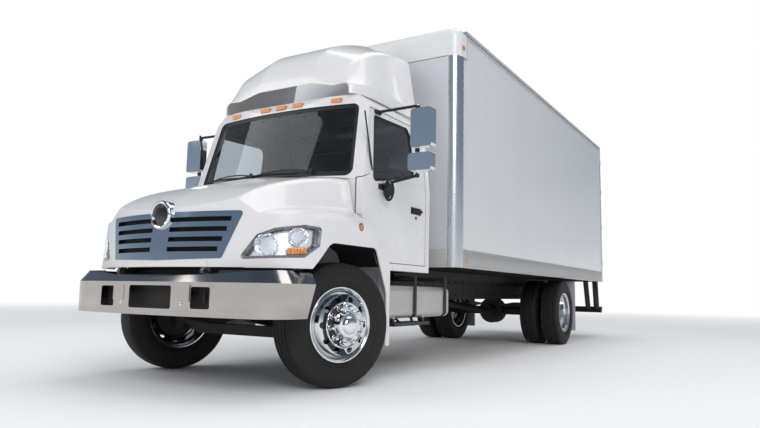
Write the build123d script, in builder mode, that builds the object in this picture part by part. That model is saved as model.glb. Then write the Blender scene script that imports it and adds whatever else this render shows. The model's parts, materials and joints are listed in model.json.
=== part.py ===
from build123d import *
from math import cos, radians, sin, sqrt
import os

os.makedirs("parts", exist_ok=True)

# Medium-duty box truck with a bonneted cab. Millimetres, front towards -Y, the vehicle's left is +X,
# road at Z = 0. The origin is on the road, at the middle of the overall length.
# A name that ends in _back is a distance behind the front axle.

# Driving lengths
nose_overhang = 1085
wheelbase = 5969
cab_back = 1545
load_gap = 265
load_length = 6780
guard_reach = 130
total_length = nose_overhang + cab_back + load_gap + load_length + guard_reach
axle_y = nose_overhang - total_length / 2
load_front_back = cab_back + load_gap
load_rear_back = load_front_back + load_length

# Wheels and tyres
tyre_radius = 500
tyre_width = 270
carcass = 22
bead_radius = 286
flange_radius = 298.5
rim_width = 210
rim_wall = 9
wheel_offset = 168
disc_thickness = 14
hand_hole_radius = 26
hand_hole_circle = 205
hand_hole_count = 10
hub_radius = 78
hub_flange_radius = 168
drum_radius = 212
drum_width = 120
spindle_radius = 34
bearing_gap = 0.1
kingpin_x = 850
front_tyre_offset = 113
rear_dual_x = 912
rest_steer = 18.3

# Ladder frame
rail_outer_x = 432
rail_height = 250
rail_flange = 75
rail_web = 9
rail_top = 940
frame_nose = 950
cross_depth = 110
cross_width = 70

# Axles and springs
beam_height = 90
beam_width = 100
beam_drop = 75
kingpin_radius = 20
ear_radius = 44
ear_height = 36
ear_gap = 0.3
spring_width = 76
spring_x = 394
leaf = 14
front_spring_half = 720
rear_spring_half = 780
housing_radius = 66
shaft_radius = 50

# Steering linkage, behind the axle
steer_arm_back = 190
tie_rod_radius = 17
ball_stud_radius = 11

# Cab
cab_half_width = 1030
roof_half_width = 955
belt_z = 1790
roof_edge_z = 2480
roof_z = 2585
roof_corner = 90
sill_z = 965
floor_z = 1075
cab_front_back = 250
cab_foot_back = 600
cab_foot_z = 1410
cab_wall = 42
glass = 6
glass_seat = 12
fit_gap = 0.3
screen_foot_back = 150
screen_foot_z = 1800
screen_head_back = 350
screen_head_z = 2500
screen_arc = 4000
cowl_z = 1745
screen_half_foot = 925
screen_half_head = 862
screen_low_z = 1800
screen_corner = 70
rear_window_half = 560
rear_window_low = 1830
rear_window_high = 2330

# Doors
door_front_back = 251
door_rear_back = 1455
door_low_z = 1035
door_high_z = 2440
door_thick = 58
door_gap = 7
window_front_back = 420
window_rear_back = 1195
window_corner = 45

# Bonnet and wings
hood_rear_back = 236
hood_wall = 12
hood_low_z = 918
hood_front_arc = 2300
wing_half_width = 1150
wing_corner = 420
hood_pivot_back = -985
hood_pivot_z = 893
hood_pin_radius = 14
grille_half_top = 735
grille_half_low = 600
grille_low_z = 975
grille_high_z = 1345
bar_count = 4
liner_thickness = 9
liner_inner_x = 640

# Load body
load_half_width = 1219
load_low_z = 1037
load_high_z = 3692
lower_rail_height = 198
upper_rail_height = 92
rail_proud = 8
wall_thickness = 40
post_radius = 105
floor_thickness = 38
sill_pitch = 420
cap_seam_z = 3355
cap_radius = 150
roof_thickness = 30
rear_post_width = 95
rear_post_depth = 70
header_height = 130
leaf_thickness = 42
leaf_gap = 7
rod_radius = 12
rod_stand = 18
hinge_back = 62
hinge_x = 1205
hinge_pin_radius = 8


def at(back):
    """Y of the model for a distance behind the front axle."""
    return axle_y + back


def prism(plane, points, depth, mode=Mode.ADD, radius=0, inset=0):
    """Extrudes an outline, its corners rounded and its sides drawn in as asked."""
    with BuildSketch(plane, mode=Mode.PRIVATE) as outline:
        with BuildLine():
            Polyline(*points, close=True)
        make_face()
        if inset:
            offset(amount=-inset, kind=Kind.INTERSECTION)
        if radius:
            fillet(outline.vertices(), radius)
    extrude(outline.sketch, amount=depth, mode=mode)


def block(x, y, z, mode=Mode.ADD):
    """A box given by its low and high X, Y and Z."""
    middle = [(low + high) / 2 for low, high in (x, y, z)]
    size = [abs(high - low) for low, high in (x, y, z)]
    with Locations(tuple(middle)):
        Box(*size, mode=mode)


def rod(start, end, radius, mode=Mode.ADD):
    """A round bar from one point to another."""
    a, b = Vector(*start), Vector(*end)
    with BuildSketch(Plane(origin=a, z_dir=(b - a).normalized()), mode=Mode.PRIVATE) as ring:
        Circle(radius)
    extrude(ring.sketch, amount=(b - a).length, mode=mode)


def side_plane(x):
    """Plane across the truck at X, drawn with (Y, Z) and extruded towards +X."""
    return Plane.YZ.offset(x)


def front_plane(back):
    """Plane across the truck, drawn with (X, Z) and extruded rearwards."""
    return Plane(origin=(0, at(back), 0), x_dir=(1, 0, 0), z_dir=(0, -1, 0))


def write(part, name):
    part.label = name
    export_step(part, f"parts/{name}.step")


def write_pair(part, name):
    write(part, f"{name}_left")
    write(mirror(part, about=Plane.YZ), f"{name}_right")


# Ladder frame: two channels, cross members, bonnet pivots and spring hangers
cross_backs = [-830, 1300, 2600, 3900, 5200, 6900, 8350]
rail_start = at(-frame_nose)
rail_end = at(load_rear_back - 40)
rail_low = rail_top - rail_height
with BuildPart() as chassis_frame:
    for side in (-1, 1):
        outer, inner = side * rail_outer_x, side * (rail_outer_x - rail_web)
        lip = side * (rail_outer_x - rail_flange)
        prism(Plane.XZ.offset(-rail_start),
              [(outer, rail_low), (outer, rail_top), (lip, rail_top), (lip, rail_top - rail_web),
               (inner, rail_top - rail_web), (inner, rail_low + rail_web), (lip, rail_low + rail_web),
               (lip, rail_low)], rail_start - rail_end)
    for back in cross_backs:
        high = rail_top - rail_web - 20
        half = rail_outer_x - rail_web
        block((-half, half), (at(back) - cross_width / 2, at(back) + cross_width / 2), (high - cross_depth, high))
    for side in (-1, 1):
        # bonnet pivot arm with its pin
        foot, tip = at(-900), at(hood_pivot_back)
        prism(side_plane(side * (rail_outer_x + 8) - 8),
              [(foot, rail_low + 60), (foot, rail_top), (tip + 26, hood_pivot_z + 20), (tip + 2, hood_pivot_z + 20),
               (tip - 18, hood_pivot_z - 2), (tip - 18, hood_pivot_z - 26), (tip + 26, rail_low + 60)], 16)
        rod((side * (rail_outer_x + 12), tip, hood_pivot_z), (side * (rail_outer_x + 70), tip, hood_pivot_z),
            hood_pin_radius)
        # cab mounting pads
        for back in (cab_foot_back + 20, cab_back - 20):
            block((side * (rail_outer_x - rail_flange), side * rail_outer_x), (at(back) - 18, at(back) + 18),
                  (rail_top, sill_z))
write(chassis_frame.part, "chassis_frame")

# Power unit: one block for the engine with its gearbox behind, and the radiator in front
with BuildPart() as engine_block:
    block((-330, 330), (at(-640), at(215)), (660, 1440))
    block((-210, 210), (at(215), at(1050)), (590, 925))
write(engine_block.part, "engine_block")

radiator_half = 350
radiator_depth = 60
radiator_low, radiator_high = 745, 1370
radiator_back = cross_backs[0] + cross_width / 2
with BuildPart() as radiator:
    block((-radiator_half, radiator_half), (at(radiator_back), at(radiator_back + radiator_depth)),
          (radiator_low, radiator_high))
write(radiator.part, "radiator")

# Steered front axle: dropped forged beam with an eye at each end
beam_z = tyre_radius - 20
with BuildPart() as front_axle:
    level = beam_z - beam_drop
    low, high = level - beam_height / 2, level + beam_height / 2
    lift = beam_drop
    prism(Plane.XZ.offset(-(axle_y - beam_width / 2)),
          [(-kingpin_x, low + lift), (-kingpin_x + 160, low + lift), (-560, low), (560, low),
           (kingpin_x - 160, low + lift), (kingpin_x, low + lift), (kingpin_x, high + lift),
           (kingpin_x - 190, high + lift), (540, high), (-540, high), (-kingpin_x + 190, high + lift),
           (-kingpin_x, high + lift)], -beam_width)
    with Locations((-kingpin_x, axle_y, beam_z), (kingpin_x, axle_y, beam_z)):
        Cylinder(beam_width / 2, beam_height)
        Cylinder(kingpin_radius + bearing_gap, beam_height, mode=Mode.SUBTRACT)
write(front_axle.part, "front_axle")

# Leaf springs: thick centre, thin ends, shackles up to the rails
spring_rows = [  # axle_back, half_length, seat_z, end_z
    (0, front_spring_half, beam_z - beam_drop + beam_height / 2, rail_low - 60),
    (wheelbase, rear_spring_half, tyre_radius + housing_radius, rail_low - 60),
]
with BuildPart() as leaf_springs:
    for back, half, seat, end in spring_rows:
        for side in (-1, 1):
            middle = at(back)
            start = side * spring_x - spring_width / 2
            knee, rise = 0.55 * half, seat + 0.3 * (end - seat)
            prism(side_plane(start),
                  [(middle - half, end - leaf), (middle - knee, rise), (middle - 70, seat), (middle + 70, seat),
                   (middle + knee, rise), (middle + half, end - leaf), (middle + half, end),
                   (middle + knee, rise + 2 * leaf), (middle + 70, seat + 5 * leaf), (middle - 70, seat + 5 * leaf),
                   (middle - knee, rise + 2 * leaf), (middle - half, end)], spring_width)
            for tip in (middle - half, middle + half):
                block((side * spring_x - 30, side * spring_x + 30), (tip - 30, tip + 30), (end - 20, rail_low))
write(leaf_springs.part, "leaf_springs")


def turn_profile(plane, points, mode=Mode.ADD):
    """Revolves an outline of (along the axis, radius) about the wheel's axis."""
    with BuildSketch(plane, mode=Mode.PRIVATE) as outline:
        with BuildLine():
            Polyline(*points, close=True)
        make_face()
    revolve(outline.sketch, axis=Axis(plane.origin, plane.x_dir), mode=mode)


def tyre(plane, middle):
    """A hollow tyre, its crown and sides rounded, open towards the rim."""
    half, seat = tyre_width / 2, rim_width / 2 - 2
    waist = (tyre_radius + bead_radius) / 2
    shoulder, shoulder_radius = half - 24, tyre_radius - 10
    roof, roof_radius = half - 50, tyre_radius - 10 - carcass
    with BuildSketch(plane, mode=Mode.PRIVATE) as section:
        with BuildLine():
            ThreePointArc((middle - shoulder, shoulder_radius), (middle, tyre_radius), (middle + shoulder, shoulder_radius))
            for way in (1, -1):
                ThreePointArc((middle + way * shoulder, shoulder_radius), (middle + way * half, waist),
                              (middle + way * seat, flange_radius + 1))
                Polyline((middle + way * seat, flange_radius + 1), (middle + way * seat, bead_radius),
                         (middle + way * (seat - 20), bead_radius))
                ThreePointArc((middle + way * (seat - 20), bead_radius), (middle + way * (half - carcass), waist),
                              (middle + way * roof, roof_radius))
            Line((middle - roof, roof_radius), (middle + roof, roof_radius))
        make_face()
    revolve(section.sketch, axis=Axis(plane.origin, plane.x_dir))


def rim_and_disc(plane, middle, facing):
    """Rim barrel and dished disc; the disc's mounting face stands wheel_offset from the rim's middle."""
    half, lip = rim_width / 2, 12
    seat = bead_radius - fit_gap
    well = seat - 28
    flange_low = flange_radius - rim_wall
    turn_profile(plane, [
        (middle - half - lip, flange_radius), (middle - half, flange_radius), (middle - half + 1, seat),
        (middle - 60, seat - 3), (middle - 35, well), (middle + 35, well), (middle + 60, seat - 3),
        (middle + half - 1, seat), (middle + half, flange_radius), (middle + half + lip, flange_radius),
        (middle + half + lip, flange_low), (middle + half, seat - rim_wall), (middle + 56, seat - rim_wall - 4),
        (middle + 40, well - rim_wall), (middle - 40, well - rim_wall), (middle - 56, seat - rim_wall - 4),
        (middle - half, seat - rim_wall), (middle - half - lip, flange_low)])
    root = middle + facing * 80
    face = middle + facing * wheel_offset
    back = face - facing * disc_thickness
    shoulder = hand_hole_circle + hand_hole_radius + 8
    turn_profile(plane, [
        (root, seat - 6), (face - facing * 24, shoulder), (face, hub_flange_radius),
        (face, hub_radius - 20), (back, hub_radius - 20), (back, hub_flange_radius - 4),
        (back - facing * 24, shoulder - 2), (root - facing * 20, seat - 6)])
    across = Plane(origin=plane.origin, x_dir=(0, 1, 0), z_dir=plane.x_dir)
    with BuildSketch(across.offset(face - facing * 52), mode=Mode.PRIVATE) as holes:
        with PolarLocations(hand_hole_circle, hand_hole_count):
            Circle(hand_hole_radius)
    extrude(holes.sketch, amount=facing * 66, mode=Mode.SUBTRACT)


def hub(plane, inner, face, nose):
    """Hub barrel with its flange, brake drum and closed cap, bored for the spindle."""
    bore = spindle_radius + bearing_gap
    seat = face - disc_thickness + (1 if nose > face else -1)
    drum_face = face - disc_thickness - 46
    turn_profile(plane, [
        (inner, bore), (nose - 22, bore), (nose - 22, 0), (nose, 0), (nose, hub_radius - 26),
        (nose - 16, hub_radius), (seat, hub_radius), (seat, hub_flange_radius), (seat - 18, hub_flange_radius),
        (drum_face, drum_radius), (drum_face - drum_width, drum_radius), (drum_face - drum_width, drum_radius - 14),
        (drum_face - 14, drum_radius - 14), (drum_face - 14, hub_radius), (inner, hub_radius)])


def steered(part, side):
    """A piece of the front wheel group, turned with the wheels as they stand."""
    return part.rotate(Axis((side * kingpin_x, axle_y, 0), (0, 0, 1)), -rest_steer)


def write_steered(part, name):
    write(steered(part, 1), f"{name}_left")
    write(steered(mirror(part, about=Plane.YZ), -1), f"{name}_right")


# Front wheels, tyres and knuckles, drawn straight ahead on the left side and then turned
front_plane = Plane(origin=(kingpin_x, axle_y, tyre_radius), x_dir=(1, 0, 0), z_dir=(0, -1, 0))
front_face = front_tyre_offset + wheel_offset
front_nose = front_face + 46
plate_start = front_face - disc_thickness - 46 - drum_width + 4
with BuildPart() as front_tyre:
    tyre(front_plane, front_tyre_offset)
write_steered(front_tyre.part, "front_tyre")

with BuildPart() as front_wheel:
    rim_and_disc(front_plane, front_tyre_offset, 1)
    hub(front_plane, plate_start + 12, front_face, front_nose)
write_steered(front_wheel.part, "front_wheel")

eye_low, eye_high = beam_z - beam_height / 2, beam_z + beam_height / 2
ear_low = eye_low - ear_gap - ear_height
ear_high = eye_high + ear_gap + ear_height
web_inner = beam_width / 2 + 6
arm_low = ear_low
tie_rod_z = arm_low - 20
with BuildPart() as knuckle:
    for low, high in ((ear_low, eye_low - ear_gap), (eye_high + ear_gap, ear_high)):
        with Locations((kingpin_x, axle_y, (low + high) / 2)):
            Cylinder(ear_radius, high - low)
        block((kingpin_x, kingpin_x + plate_start), (axle_y - ear_radius, axle_y + ear_radius), (low, high))
    block((kingpin_x + web_inner, kingpin_x + plate_start), (axle_y - ear_radius, axle_y + ear_radius),
          (ear_low, ear_high))
    with Locations((kingpin_x, axle_y, beam_z)):
        Cylinder(kingpin_radius, ear_high - ear_low)
    # brake backing plate and spindle
    rod((kingpin_x + plate_start, axle_y, tyre_radius), (kingpin_x + plate_start + 6, axle_y, tyre_radius),
        drum_radius - 20)
    rod((kingpin_x + plate_start, axle_y, tyre_radius), (kingpin_x + front_nose - 26, axle_y, tyre_radius),
        spindle_radius)
    # steering arm with its ball stud
    block((kingpin_x - 18, kingpin_x + 18), (axle_y, axle_y + steer_arm_back + 20), (arm_low, arm_low + 26))
    rod((kingpin_x, axle_y + steer_arm_back, arm_low - 42), (kingpin_x, axle_y + steer_arm_back, arm_low + 1),
        ball_stud_radius)
write_steered(knuckle.part, "knuckle")

# Tie rod between the steering arms, looser on the right stud
turn = radians(rest_steer)
stud_shift, stud_back = steer_arm_back * sin(turn), steer_arm_back * cos(turn)
with BuildPart() as tie_rod:
    rod((-kingpin_x + stud_shift, axle_y + stud_back, tie_rod_z), (kingpin_x + stud_shift, axle_y + stud_back, tie_rod_z),
        tie_rod_radius)
    for side, play in ((1, bearing_gap), (-1, 1.0)):
        with Locations((side * kingpin_x + stud_shift, axle_y + stud_back, tie_rod_z)):
            Cylinder(ball_stud_radius + 14, 38)
            Cylinder(ball_stud_radius + play, 40, mode=Mode.SUBTRACT)
write(tie_rod.part, "tie_rod")

# Twin rear wheels: the inner disc bulges out and the outer one is dished, both on one hub
rear_plane = Plane(origin=(0, at(wheelbase), tyre_radius), x_dir=(1, 0, 0), z_dir=(0, -1, 0))
rear_middles = (rear_dual_x - wheel_offset, rear_dual_x + wheel_offset)
with BuildPart() as rear_tyres:
    for middle in rear_middles:
        tyre(rear_plane, middle)
write_pair(rear_tyres.part, "rear_tyres")

rear_hub_start = rear_dual_x - 182
rear_nose = rear_dual_x + 150
with BuildPart() as rear_wheels:
    for middle, facing in zip(rear_middles, (1, -1)):
        rim_and_disc(rear_plane, middle, facing)
    hub(rear_plane, rear_hub_start, rear_dual_x, rear_nose)
write_pair(rear_wheels.part, "rear_wheels")

# Driven rear axle: banjo housing with its tubes and spindles
with BuildPart() as rear_axle:
    shoulder_x = rear_hub_start - 6
    rod((-shoulder_x, at(wheelbase), tyre_radius), (shoulder_x, at(wheelbase), tyre_radius), housing_radius)
    rod((-rear_nose + 26, at(wheelbase), tyre_radius), (rear_nose - 26, at(wheelbase), tyre_radius), spindle_radius)
    rod((0, at(wheelbase) - 95, tyre_radius), (0, at(wheelbase) + 95, tyre_radius), 205)
    rod((0, at(wheelbase) - 300, tyre_radius), (0, at(wheelbase) - 90, tyre_radius), 90)
write(rear_axle.part, "rear_axle")

shaft_points = [  # back, z
    (1050 + shaft_radius + fit_gap, 735),
    (3300, 700),
    (wheelbase - 300 - shaft_radius - fit_gap, tyre_radius),
]
with BuildPart() as prop_shaft:
    for (back, z), (next_back, next_z) in zip(shaft_points, shaft_points[1:]):
        rod((0, at(back), z), (0, at(next_back), next_z), shaft_radius)
    for back, z in shaft_points:
        with Locations((0, at(back), z)):
            Sphere(shaft_radius)
    hanger_low = rail_top - 230
    block((-90, 90), (at(3270), at(3330)), (640, hanger_low + 20))
    half = rail_outer_x - rail_web
    block((-half, half), (at(3270), at(3330)), (hanger_low, hanger_low + 50))
write(prop_shaft.part, "prop_shaft")


def cab_form(inset, low):
    """The cab's closed outer form, its walls drawn in by an inset, down to a given height."""
    with BuildPart() as form:
        prism(side_plane(-cab_half_width), [
            (at(cab_foot_back), low - inset), (at(cab_foot_back), sill_z + 110), (at(cab_front_back), cab_foot_z),
            (at(cab_front_back), cowl_z), (at(screen_foot_back), screen_foot_z), (at(screen_head_back), screen_head_z),
            (at(screen_head_back) + 60, roof_z), (at(cab_back) - 20, roof_z), (at(cab_back), roof_edge_z),
            (at(cab_back), low - inset)], 2 * cab_half_width, inset=inset)
        with BuildSketch(Plane.XZ.offset(-at(-400)), mode=Mode.PRIVATE) as section:
            with BuildLine():
                FilletPolyline(
                    (-cab_half_width + 6, low - 200), (-cab_half_width, belt_z), (-roof_half_width, roof_edge_z),
                    (-roof_half_width + 115, roof_z), (roof_half_width - 115, roof_z),
                    (roof_half_width, roof_edge_z), (cab_half_width, belt_z), (cab_half_width - 6, low - 200),
                    radius=[roof_corner / 2, roof_corner, roof_corner, roof_corner, roof_corner, roof_corner / 2])
                Line((-cab_half_width + 6, low - 200), (cab_half_width - 6, low - 200))
            make_face()
            if inset:
                offset(amount=-inset, kind=Kind.INTERSECTION)
        extrude(section.sketch, amount=-(cab_back + 800), mode=Mode.INTERSECT)
        # plan of the cab: bowed windscreen, leaning back with height
        lean = (screen_head_back - screen_foot_back) / (screen_head_z - screen_foot_z)
        start_z = 400
        front = at(screen_foot_back) - lean * (screen_foot_z - start_z) + inset
        sag = screen_arc - sqrt(screen_arc ** 2 - cab_half_width ** 2)
        half = cab_half_width - inset
        with BuildSketch(Plane.XY.offset(start_z), mode=Mode.PRIVATE) as plan:
            with BuildLine():
                ThreePointArc((-half, front + sag), (0, front), (half, front + sag))
                Polyline((half, front + sag), (half, front + 4000), (-half, front + 4000), (-half, front + sag))
            make_face()
            fillet(plan.vertices().group_by(Axis.Y)[1], 60)
        rise = 2400
        extrude(plan.sketch, amount=rise * sqrt(1 + lean ** 2), dir=(0, lean, 1), mode=Mode.INTERSECT)
    return form.part




def cab_skin(outer_inset, inner_inset, low):
    """The layer of the cab between two insets."""
    with BuildPart() as skin:
        add(cab_form(outer_inset, low))
        add(cab_form(inner_inset, low - 50), mode=Mode.SUBTRACT)
    return skin.part


# Outlines on the cab: (back, Z) for the sides and (X, Z) for the front and rear
door_outline = [
    (door_front_back, cab_foot_z + 22), (door_front_back, cowl_z + 7), (door_front_back + 120, cowl_z + 55),
    (door_front_back + 220, door_high_z), (door_rear_back - 60, door_high_z), (door_rear_back, door_high_z - 60),
    (door_rear_back, door_low_z), (cab_foot_back + 44, door_low_z)]
window_outline = [
    (window_front_back, 1742), (window_front_back + 104, 2388), (window_rear_back - 40, 2402),
    (window_rear_back + 28, 2330), (window_rear_back + 28, 1908), (765, 1806)]
screen_outline = [
    (-screen_half_foot, screen_low_z - 25), (0, screen_low_z), (screen_half_foot, screen_low_z - 25),
    (screen_half_head, screen_head_z - 10), (-screen_half_head, screen_head_z - 10)]
rear_outline = [
    (-rear_window_half, rear_window_low), (rear_window_half, rear_window_low),
    (rear_window_half, rear_window_high), (-rear_window_half, rear_window_high)]
door_inner_x = cab_half_width - door_thick


def placed(outline):
    """Side outline moved from distances behind the axle to the model's Y."""
    return [(at(back), z) for back, z in outline]


def door_zone(gap):
    """Space that the left door takes, with a gap all round."""
    with BuildPart() as zone:
        prism(side_plane(840), placed(door_outline), 300, inset=-gap)
        if gap:
            # rebate for the inner edge of the door as it swings
            prism(side_plane(840), placed(door_outline), 95, inset=-2 * gap)
        clear_x = door_inner_x - (gap and gap + 10)
        block((800, clear_x), (at(0), at(345)), (900, cowl_z + 50), mode=Mode.SUBTRACT)
        block((800, clear_x), (at(0), at(2000)), (900, floor_z + 7), mode=Mode.SUBTRACT)
    return zone.part


# Cab shell: floor, walls, pillars and roof in one, cut for the doors, screen and rear window
opening = door_zone(door_gap)
with BuildPart() as cab_shell:
    add(cab_form(0, sill_z))
    add(cab_form(cab_wall, floor_z), mode=Mode.SUBTRACT)
    block((-880, 880), (at(cab_foot_back + 40), at(cab_back - 40)), (sill_z - 10, floor_z - cab_wall), mode=Mode.SUBTRACT)
    add(opening, mode=Mode.SUBTRACT)
    add(mirror(opening, about=Plane.YZ), mode=Mode.SUBTRACT)
    prism(Plane.XZ.offset(-at(-300)), screen_outline, -820, mode=Mode.SUBTRACT, radius=screen_corner)
    prism(Plane.XZ.offset(-at(cab_back - 100)), rear_outline, -200, mode=Mode.SUBTRACT, radius=60)
write(cab_shell.part, "cab_shell")

glass_sheet = cab_skin(glass_seat, glass_seat + glass, floor_z)
with BuildPart() as cab_glass:
    with BuildPart(mode=Mode.PRIVATE) as panes:
        prism(Plane.XZ.offset(-at(-300)), screen_outline, -820, radius=screen_corner, inset=fit_gap)
        prism(Plane.XZ.offset(-at(cab_back - 100)), rear_outline, -200, radius=60, inset=fit_gap)
    add(glass_sheet)
    add(panes.part, mode=Mode.INTERSECT)
write(cab_glass.part, "cab_glass")

# Doors and their glass, made on the left and mirrored
with BuildPart() as door:
    add(cab_skin(0, door_thick, sill_z))
    add(door_zone(0), mode=Mode.INTERSECT)
    prism(side_plane(840), placed(window_outline), 300, mode=Mode.SUBTRACT, radius=window_corner)
write_pair(door.part, "door")

with BuildPart() as door_glass:
    with BuildPart(mode=Mode.PRIVATE) as pane:
        prism(side_plane(840), placed(window_outline), 300, radius=window_corner, inset=fit_gap)
    add(glass_sheet)
    add(pane.part, mode=Mode.INTERSECT)
write_pair(door_glass.part, "door_glass")

# Seats on boxes, dashboard and steering wheel
seat_x = 480
floor_top = floor_z
seat_rows = [(seat_x, 250), (-seat_x + 130, 380)]  # centre_x, half_width
with BuildPart() as seats:
    for x, half in seat_rows:
        block((x - half + 50, x + half - 50), (at(880), at(1330)), (floor_top, floor_top + 300))
        block((x - half, x + half), (at(840), at(1370)), (floor_top + 300, floor_top + 430))
        prism(side_plane(x - half), [(at(1280), floor_top + 430), (at(1370), floor_top + 430), (at(1470), floor_top + 1010),
                                     (at(1400), floor_top + 1010)], 2 * half)
write(seats.part, "seats")

wheel_middle = Vector(seat_x, at(690), 1680)
column_way = Vector(0, -0.72, -0.69).normalized()
with BuildPart() as dashboard:
    prism(side_plane(-835), [(at(270), 1400), (at(270), 1690), (at(320), 1750), (at(560), 1735), (at(610), 1640), (at(540), 1400),
                             (at(480), 1250), (at(480), 1120), (at(430), 1120), (at(430), 1270)], 1670)
    add(cab_form(cab_wall + fit_gap, floor_z), mode=Mode.INTERSECT)
    with BuildSketch(Plane(origin=wheel_middle, z_dir=-column_way)) as ring:
        Circle(225)
        Circle(195, mode=Mode.SUBTRACT)
        Rectangle(400, 34)
        Circle(60)
    extrude(ring.sketch, amount=26)
    rod(tuple(wheel_middle), tuple(wheel_middle + column_way * 190), 38)
write(dashboard.part, "dashboard")

# Roof fairing: an open-backed shell lofted through four sections
fairing_rows = [  # back, foot_x, shoulder_x, shoulder_z, top_x, top_z
    (395, 780, 600, 2700, 330, 2760),
    (640, 862, 735, 3020, 330, 3165),
    (980, 866, 770, 3170, 330, 3330),
    (1330, 866, 775, 3225, 320, 3440),
    (1520, 866, 770, 3240, 310, 3470),
]


def fairing_form(inset, overrun):
    """Solid inside the fairing's surface, drawn in by an inset and run on past the back."""
    with BuildPart() as form:
        for back, foot, shoulder_x, shoulder_z, top_x, top_z in fairing_rows:
            place = back + (overrun if back == fairing_rows[-1][0] else 0)
            with BuildSketch(Plane.XZ.offset(-at(place))):
                with BuildLine():
                    FilletPolyline(
                        (-foot + inset, roof_z - overrun), (-foot + inset, roof_z + 110), (-shoulder_x + inset, shoulder_z - inset),
                        (-top_x, top_z - inset), (top_x, top_z - inset), (shoulder_x - inset, shoulder_z - inset),
                        (foot - inset, roof_z + 110), (foot - inset, roof_z - overrun), radius=[60, 90, 90, 90, 90, 60])
                    Line((foot - inset, roof_z - overrun), (-foot + inset, roof_z - overrun))
                make_face()
        loft()
    return form.part


with BuildPart() as roof_fairing:
    add(fairing_form(0, 0))
    add(fairing_form(14, 20), mode=Mode.SUBTRACT)
write(roof_fairing.part, "roof_fairing")

# Bonnet and wings in one tilting moulding, lofted through half sections mirrored about the middle
hood_rows = [  # back, side_x, side_z, crest_x, crest_z, valley_x, valley_z, brow_x, brow_z, top_z
    (-1100, 1130, 1090, 1040, 1150, 820, 1190, 620, 1250, 1265),
    (-941, 1140, 1170, 1060, 1230, 830, 1285, 650, 1400, 1420),
    (-749, 1150, 1250, 1075, 1305, 845, 1350, 690, 1515, 1540),
    (-431, 1150, 1305, 1085, 1360, 870, 1405, 750, 1632, 1665),
    (-78, 1150, 1315, 1085, 1375, 900, 1430, 830, 1712, 1765),
    (250, 1150, 1310, 1090, 1370, 960, 1450, 900, 1742, 1825),
    (620, 1150, 1300, 1090, 1360, 980, 1450, 920, 1760, 1850),
]
hood_lean = 0.1
flap_z = 304


def hood_form(inset, overrun):
    """Closed form of bonnet and wings, drawn in by an inset and run on past the open sides."""
    low = flap_z - overrun
    with BuildPart() as form:
        for row in hood_rows:
            back, side_x, side_z, crest_x, crest_z, valley_x, valley_z, brow_x, brow_z, top_z = row
            half = [(side_x - inset, low), (side_x - inset, side_z), (crest_x - inset, crest_z - inset),
                    (valley_x - inset, valley_z - inset), (brow_x - inset, brow_z - inset)]
            across = [(-x, z) for x, z in half] + [(0, top_z - inset)] + half[::-1]
            with BuildSketch(Plane.XZ.offset(-at(back))):
                with BuildLine():
                    FilletPolyline(*across, radius=[70, 45, 60, 70, 1500, 70, 60, 45, 70])
                    Line(across[-1], across[0])
                make_face()
        loft()
        front = at(-nose_overhang + 50) - hood_lean * (hood_low_z - low) + inset
        half = wing_half_width - inset
        sag = hood_front_arc - sqrt(hood_front_arc ** 2 - half ** 2)
        with BuildSketch(Plane.XY.offset(low), mode=Mode.PRIVATE) as plan:
            with BuildLine():
                ThreePointArc((-half, front + sag), (0, front), (half, front + sag))
                Polyline((half, front + sag), (half, front + 2500), (-half, front + 2500), (-half, front + sag))
            make_face()
            fillet(plan.vertices().group_by(Axis.Y)[0], wing_corner - inset)
        extrude(plan.sketch, amount=2400 * sqrt(1 + hood_lean ** 2), dir=(0, hood_lean, 1), mode=Mode.INTERSECT)
    return form.part


arch_outline = [(-1300, 100), (-1300, hood_low_z), (-560, hood_low_z + 7), (-345, 1135), (318, 1135), (505, 760), (500, 100)]
arch_radii = [20, 150, 70, 220]
cab_side_cut = [(hood_rear_back, 2500), (hood_rear_back, 1385), (345, 1200), (545, 1020), (560, 960), (560, 100),
                (900, 100), (900, 2500)]
grille_outline = [(-grille_half_top, grille_high_z), (-grille_half_low, grille_low_z + 14), (0, grille_low_z),
                  (grille_half_low, grille_low_z + 14), (grille_half_top, grille_high_z)]
emblem_z, emblem_radius = 1326, 111
lamp_plane = Plane(origin=(950, at(-750), 0), x_dir=(0.707, 0.707, 0), z_dir=(0.707, -0.707, 0))
lamp_outline = [(-275, 982), (200, 1003), (325, 1095), (338, 1238), (200, 1247), (-20, 1215), (-150, 1165)]

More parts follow.
